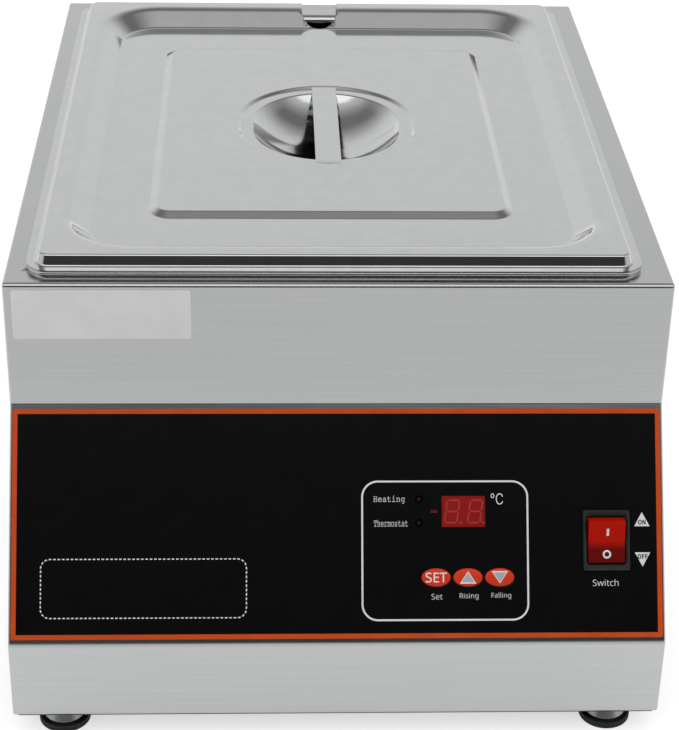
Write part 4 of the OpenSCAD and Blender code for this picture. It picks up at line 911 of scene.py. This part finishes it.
def buildSwitch(s):
    at = onSlope(s.x, s.down)
    w, l, top, low = s.frameHalfW, s.frameHalfL, s.frameTop, s.frameFrom
    lip = []
    for a in range(0, 91, 15):
        inset = s.rim * (1 - math.cos(math.radians(a)))
        lip.append((w - inset, l - inset, s.corner, top - s.rim * (1 - math.sin(math.radians(a)))))
    body = (s.bodyHalfW, s.bodyHalfL, s.bodyCorner)
    # The frame falls in a shallow slope to a ledge round the well
    wellW, wellL = s.wellHalfW, s.wellHalfL
    ledge = [(wellW + dw, wellL + dl, r, top - drop) for dw, dl, r, drop in s.ledge]
    steps = [(*body, s.bodyBottom), (*body, low)]
    steps += [(w - d, l - d, s.corner, z) for d, z in ((s.foot, low), (0, low + s.foot))]
    steps += lip + ledge + [(wellW, wellL, s.wellCorner, s.wellFloor)]
    housing = ringMesh("switchFrame", [roundRectRing(*step, cornerSteps=8) for step in steps], True, True)
    fit(bake(place(smooth(housing, 30), at)), nylonGrain, "case", "switch_black", "switch_housing")

    tip = math.radians(s.tip)
    mid = s.face / math.cos(tip)
    end = mid + s.radius * math.tan(tip)
    highest = math.degrees(math.asin(min(1, end / s.radius * s.faceShare)))
    profile = arcOf(s.radius, [s.lowest + (highest - s.lowest) * k / 10 for k in range(11)])
    # The two faces meet in a soft hollow
    face = bendPath([profile[-1], (0, mid), (-profile[-1][0], profile[-1][1])], [0, s.hollow, 0], steps=10)
    outline = profile + face[1:-1] + [(-y, z) for y, z in reversed(profile)]
    outline += [(side * s.radius * s.skirtShare, -s.skirt) for side in (-1, 1)]
    half = s.rockerHalfW
    rocker = softEdges(solidOf("rocker", [[(x, y, z) for y, z in outline] for x in (-half, half)]), s.round, 4, 48)
    pin = solidOf("pin", [circleRing(s.pin, side * (half + s.pinOut), steps=32) for side in (-1, 1)])
    place(pin, turn(90, "Y"))
    tilt = at @ shift(0, 0, s.pivot) @ turn(s.tip, "X")
    rocker = bake(place(smooth(join("rocker", [rocker, pin]), 35), tilt))
    fit(rocker, rockerPlastic, "rocker", "rocker_red", "switch_rocker")

    # The on bar lies on the raised half, the off ring on the pressed half
    x, y, barHalfW, barHalfL = s.bar
    bar = ringMesh("onBar", [roundRectRing(barHalfW, barHalfL, 0.15, 0)], False, True)
    place(bar, shift(x, y, mid + y * math.tan(tip) + s.inkLift) @ turn(s.tip, "X"))
    y, ringOut, ringIn = s.ring
    off = ringMesh("offRing", [circleRing(r, 0, steps=48) for r in (ringOut, ringIn)])
    place(off, shift(0, y, mid - y * math.tan(tip) + s.inkLift) @ turn(-s.tip, "X"))
    fit(place(join("rockerMarks", [bar, off]), tilt), whiteInk, "rocker", "rocker_red")


# Feet: a rubber pad under a plated cup

footSizes = dict(
    sides=dict(_left=-121.5, _right=121.5), ends=dict(_front=-197.4, _rear=183.4),
    pad=[(2.6, 2.5), (6.0, 2.5), (6.0, 0.0), (11.4, 0.0), (11.4, 1.61), (11.05, 1.75), (11.4, 1.89),
         (11.4, 3.5), (2.6, 3.5)],
    padBends=[0, 0, 0.3, 0.7, 0, 0, 0, 0.7, 0],
    cup=[(2.6, 3.5), (9.3, 3.5), (9.3, 4.2), (7.6, 8.3), (6.5, 9.5), (2.6, 9.5)],
    cupBends=[0, 0, 0.35, 1.2, 0.6, 0],
)


def buildFeet(s):
    # Each is a profile of radius and height, turned round its bolt
    kinds = (("rubberPad", s.pad, s.padBends, footRubber, "foot_rubber", "foot_pad"),
             ("footCup", s.cup, s.cupBends, nickelPlate, "foot_steel", "foot_cup"))
    for side, x in s.sides.items():
        for end, y in s.ends.items():
            for name, corners, bends, material, slot, node in kinds:
                profile = bendPath(corners, bends, steps=5, closed=True)
                rings = [circleRing(r, z, (x, y), 72) for r, z in profile + profile[:1]]
                turned = outwards(ringMesh(name + end + side, rings))
                fit(bake(smooth(turned, 50)), material, "case", slot, node + end + side)


# Blank note label on the upper face

labelSizes = dict(x=-101.5, z=180.0, halfW=38.0, halfH=11.75, face=-151.0, film=0.18, corner=1.2)


def buildLabel(s):
    label = ringMesh("noteLabel", [roundRectRing(s.halfW - d, s.halfH - d, s.corner, s.film * share)
                                   for d, share in ((0, 0), (0, 0.6), (0.15, 1))], True, True)
    stand = Matrix(((1, 0, 0), (0, 0, 1), (0, -1, 0))).transposed().to_4x4()
    place(label, shift(s.x, s.face, s.z) @ stand)
    fit(bake(smooth(label)), labelFilm, "case", "label_film", "note_label")


# Screws: one head shape set on every place by a geometry tree

screwSizes = dict(
    headR=2.9, headH=1.7, rim=0.25, shankR=1.5, shankL=5.0, slotW=0.8, slotL=3.2, slotDepth=1.0, slotCorner=0.1,
    baseX=136.0, baseY=(-108.5, -7.0, 94.5), baseZ=9.5,
    rear=[(-136, 44.5), (136, 44.5), (-136, 129.5), (136, 129.5), (-71.5, 187.5), (71.5, 187.5)], rearY=196.0,
)

screwTree, screwIn = newGroup("screwsOnPlaces", Screw="Object", Facing="Vector", Seed=3, Material="Material")
screwShape = addNode(screwTree, "GeometryNodeObjectInfo", {"Object": screwIn["Screw"]}).outputs["Geometry"]
screwRandom = addNode(screwTree, "FunctionNodeRandomValue", {2: 0.0, 3: 6.283, "Seed": screwIn["Seed"]})
screwTurn = addNode(screwTree, "FunctionNodeAxisAngleToRotation",
                    {"Axis": (0, 0, 1), "Angle": screwRandom.outputs[1]})
screwFace = addNode(screwTree, "FunctionNodeEulerToRotation", {"Euler": screwIn["Facing"]})
screwSpin = addNode(screwTree, "FunctionNodeRotateRotation", {"Rotation": screwFace, "Rotate By": screwTurn},
                    rotation_space="LOCAL")
copyOnPoints(screwTree, screwIn, screwIn["Geometry"], screwShape, screwSpin)


def buildScrews(s):
    dome = [(s.shankR, -s.shankL), (s.shankR, 0), (s.headR, 0)]
    dome += [(s.headR * math.cos(math.radians(a)), s.rim + (s.headH - s.rim) * math.sin(math.radians(a)))
             for a in (0, 15, 30, 45, 60, 75, 86)]
    head = solidOf("screwHead", [circleRing(r, z, steps=28) for r, z in dome])
    for angle in (0, 90):
        bar = solidOf("bar", [roundRectRing(s.slotL / 2, s.slotW / 2, s.slotCorner, z, cornerSteps=2)
                              for z in (s.headH - s.slotDepth, s.headH + 1)])
        cutBy(head, place(bar, turn(angle, "Z")))
    bake(smooth(head, 35))
    basePlaces = [(sx * s.baseX, y, s.baseZ) for sx in (-1, 1) for y in s.baseY]
    rearPlaces = [(x, s.rearY, z) for x, z in s.rear]
    for name, places, facing, node in (("baseScrews", basePlaces, (math.pi, 0, 0), "base_screws"),
                                       ("rearScrews", rearPlaces, (-math.pi / 2, 0, 0), "rear_screws")):
        piece = runGroup(makeMesh(name, places, []), screwTree, Screw=head, Facing=facing, Seed=3, Material=zincCoat)
        fit(piece, zincCoat, "case", "fastener_steel", node)
    bpy.data.objects.remove(head)


# Cord gland at the rear: a hexagon, a ribbed cap and the clear bore for the cord

glandSizes = dict(
    x=92.0, z=44.5, panelY=195.0, bore=4.0, thread=7.8, threadFrom=-10.0, turns=6, groove=0.4, crest=0.5,
    hexagon=[(10.5, 0.0), (11.0, 0.4), (11.0, 4.5), (10.4, 5.0)],
    cap=[(8.3, 5.1), (8.9, 5.5), (8.9, 11.6), (8.5, 12.0), (7.0, 14.5), (6.4, 15.0), (4.4, 15.0), (4.0, 14.6)],
    ribs=24, ribRing=9.0, ribW=0.9, ribH=0.8, ribL=6.0, ribBase=5.6, steps=72,
)

ribTree, ribIn = newGroup("ribsRoundCap", Count=24, Radius=0.009, Width=0.001, Height=0.001, Length=0.006, Base=0.0055,
                          Material="Material")
ribCircle = addNode(ribTree, "GeometryNodeMeshCircle", {"Vertices": ribIn["Count"], "Radius": ribIn["Radius"]})
ribTurn = addNode(ribTree, "FunctionNodeAlignRotationToVector",
                  {"Vector": addNode(ribTree, "GeometryNodeInputPosition", {})}, axis="X")
ribSize = addNode(ribTree, "ShaderNodeCombineXYZ",
                  {"X": ribIn["Height"], "Y": ribIn["Width"], "Z": ribIn["Length"]})
ribShape = addNode(ribTree, "GeometryNodeMeshCube", {"Size": ribSize})
ribRise = calc(ribTree, "ADD", calc(ribTree, "MULTIPLY", ribIn["Length"], 0.5), ribIn["Base"])
ribLift = addNode(ribTree, "ShaderNodeCombineXYZ", {"Z": ribRise})
copyOnPoints(ribTree, ribIn, ribCircle, ribShape, ribTurn, ribLift)


def hexRing(radius, z, steps):
    # A hexagon with the points of a circle, so that both skin together
    angles = [2 * math.pi * k / steps for k in range(steps)]
    reach = [radius * math.cos(math.pi / 6) / math.cos(a % (math.pi / 3) - math.pi / 6) for a in angles]
    return [(r * math.cos(a), r * math.sin(a), z) for r, a in zip(reach, angles)]


def buildGland(s):
    root, low = s.thread - s.groove, s.threadFrom
    thread = [(s.bore, low), (root, low)]
    for k in range(s.turns):
        z = low + 1 - k * (low + 1) / s.turns
        thread += [(root, z), (s.thread, z + s.crest), (root, z + 2 * s.crest)]
    rings = [circleRing(r, z, steps=s.steps) for r, z in thread]
    rings += [hexRing(r, z, s.steps) for r, z in s.hexagon]
    rings += [circleRing(r, z, steps=s.steps) for r, z in s.cap + [(s.bore, low)]]
    body = outwards(ringMesh("gland", rings))
    ribs = runGroup(makeMesh("ribs", [(0, 0, 0)], []), ribTree, Count=s.ribs, Radius=s.ribRing * mm,
                    Width=s.ribW * mm, Height=s.ribH * mm, Length=s.ribL * mm, Base=s.ribBase * mm,
                    Material=glandNylon)
    ribs.data.materials.clear()
    gland = smooth(join("cordGland", [body, ribs]), 35)
    place(gland, shift(s.x, s.panelY, s.z) @ turn(-90, "X"))
    fit(bake(gland), glandNylon, "case", "gland_black", "cable_gland")


# The remaining solids keep their own shape and get their finish

finishes = dict(pairs=[
    # The base plate takes the sheet whose dark colour is painted shade
    (groundSteel, "rear_panel"), (dullShadedSteel, "base_plate"), (controlFilm, "control_overlay"),
    (phenolic, "display_module thermal_cutout"), (dimLamp, "indicator_leds"), (siliconeMat, "heating_mat"),
    (rolledAluminium, "clamp_plate"), (glassFelt, "insulation_blanket"), (nickelPlate, "temperature_probe"),
    (zincCoat, "clamp_nuts insulation_jacket probe_clip board_standoffs board_nuts foot_bolts foot_nuts"),
    (dullBrass, "heater_terminals switch_terminals earth_stud"), (boardLacquer, "controller_board"),
    (nylonGrain, "tact_switches"), (varnished, "board_transformer"), (blueCase, "board_relay"),
    (whiteNylon, "board_connector terminal_block"), (glandNylon, "gland_nut"),
])


def finishNodes(s):
    for material, names in s.pairs:
        for name in names.split():
            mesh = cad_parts[name].data
            if not mesh.materials:
                mesh.materials.append(material)
            for i in range(len(mesh.materials)):
                mesh.materials[i] = material


# Every stage takes its own dictionary as s
for stage, sizes in ((aimCamera, view), (buildSky, studio), (buildFloor, studio), (buildCase, caseSizes),
                     (buildPan, panSizes), (buildLid, lidSizes), (buildWell, wellSizes), (buildPrint, printSizes),
                     (buildDisplay, displaySizes), (buildKeys, keySizes), (buildSwitch, switchSizes),
                     (buildFeet, footSizes), (buildLabel, labelSizes), (buildScrews, screwSizes),
                     (buildGland, glandSizes), (finishNodes, finishes)):
    stage(SimpleNamespace(**sizes))
    print(stage.__name__, "done")

bpy.context.scene.view_settings.view_transform = "Standard"
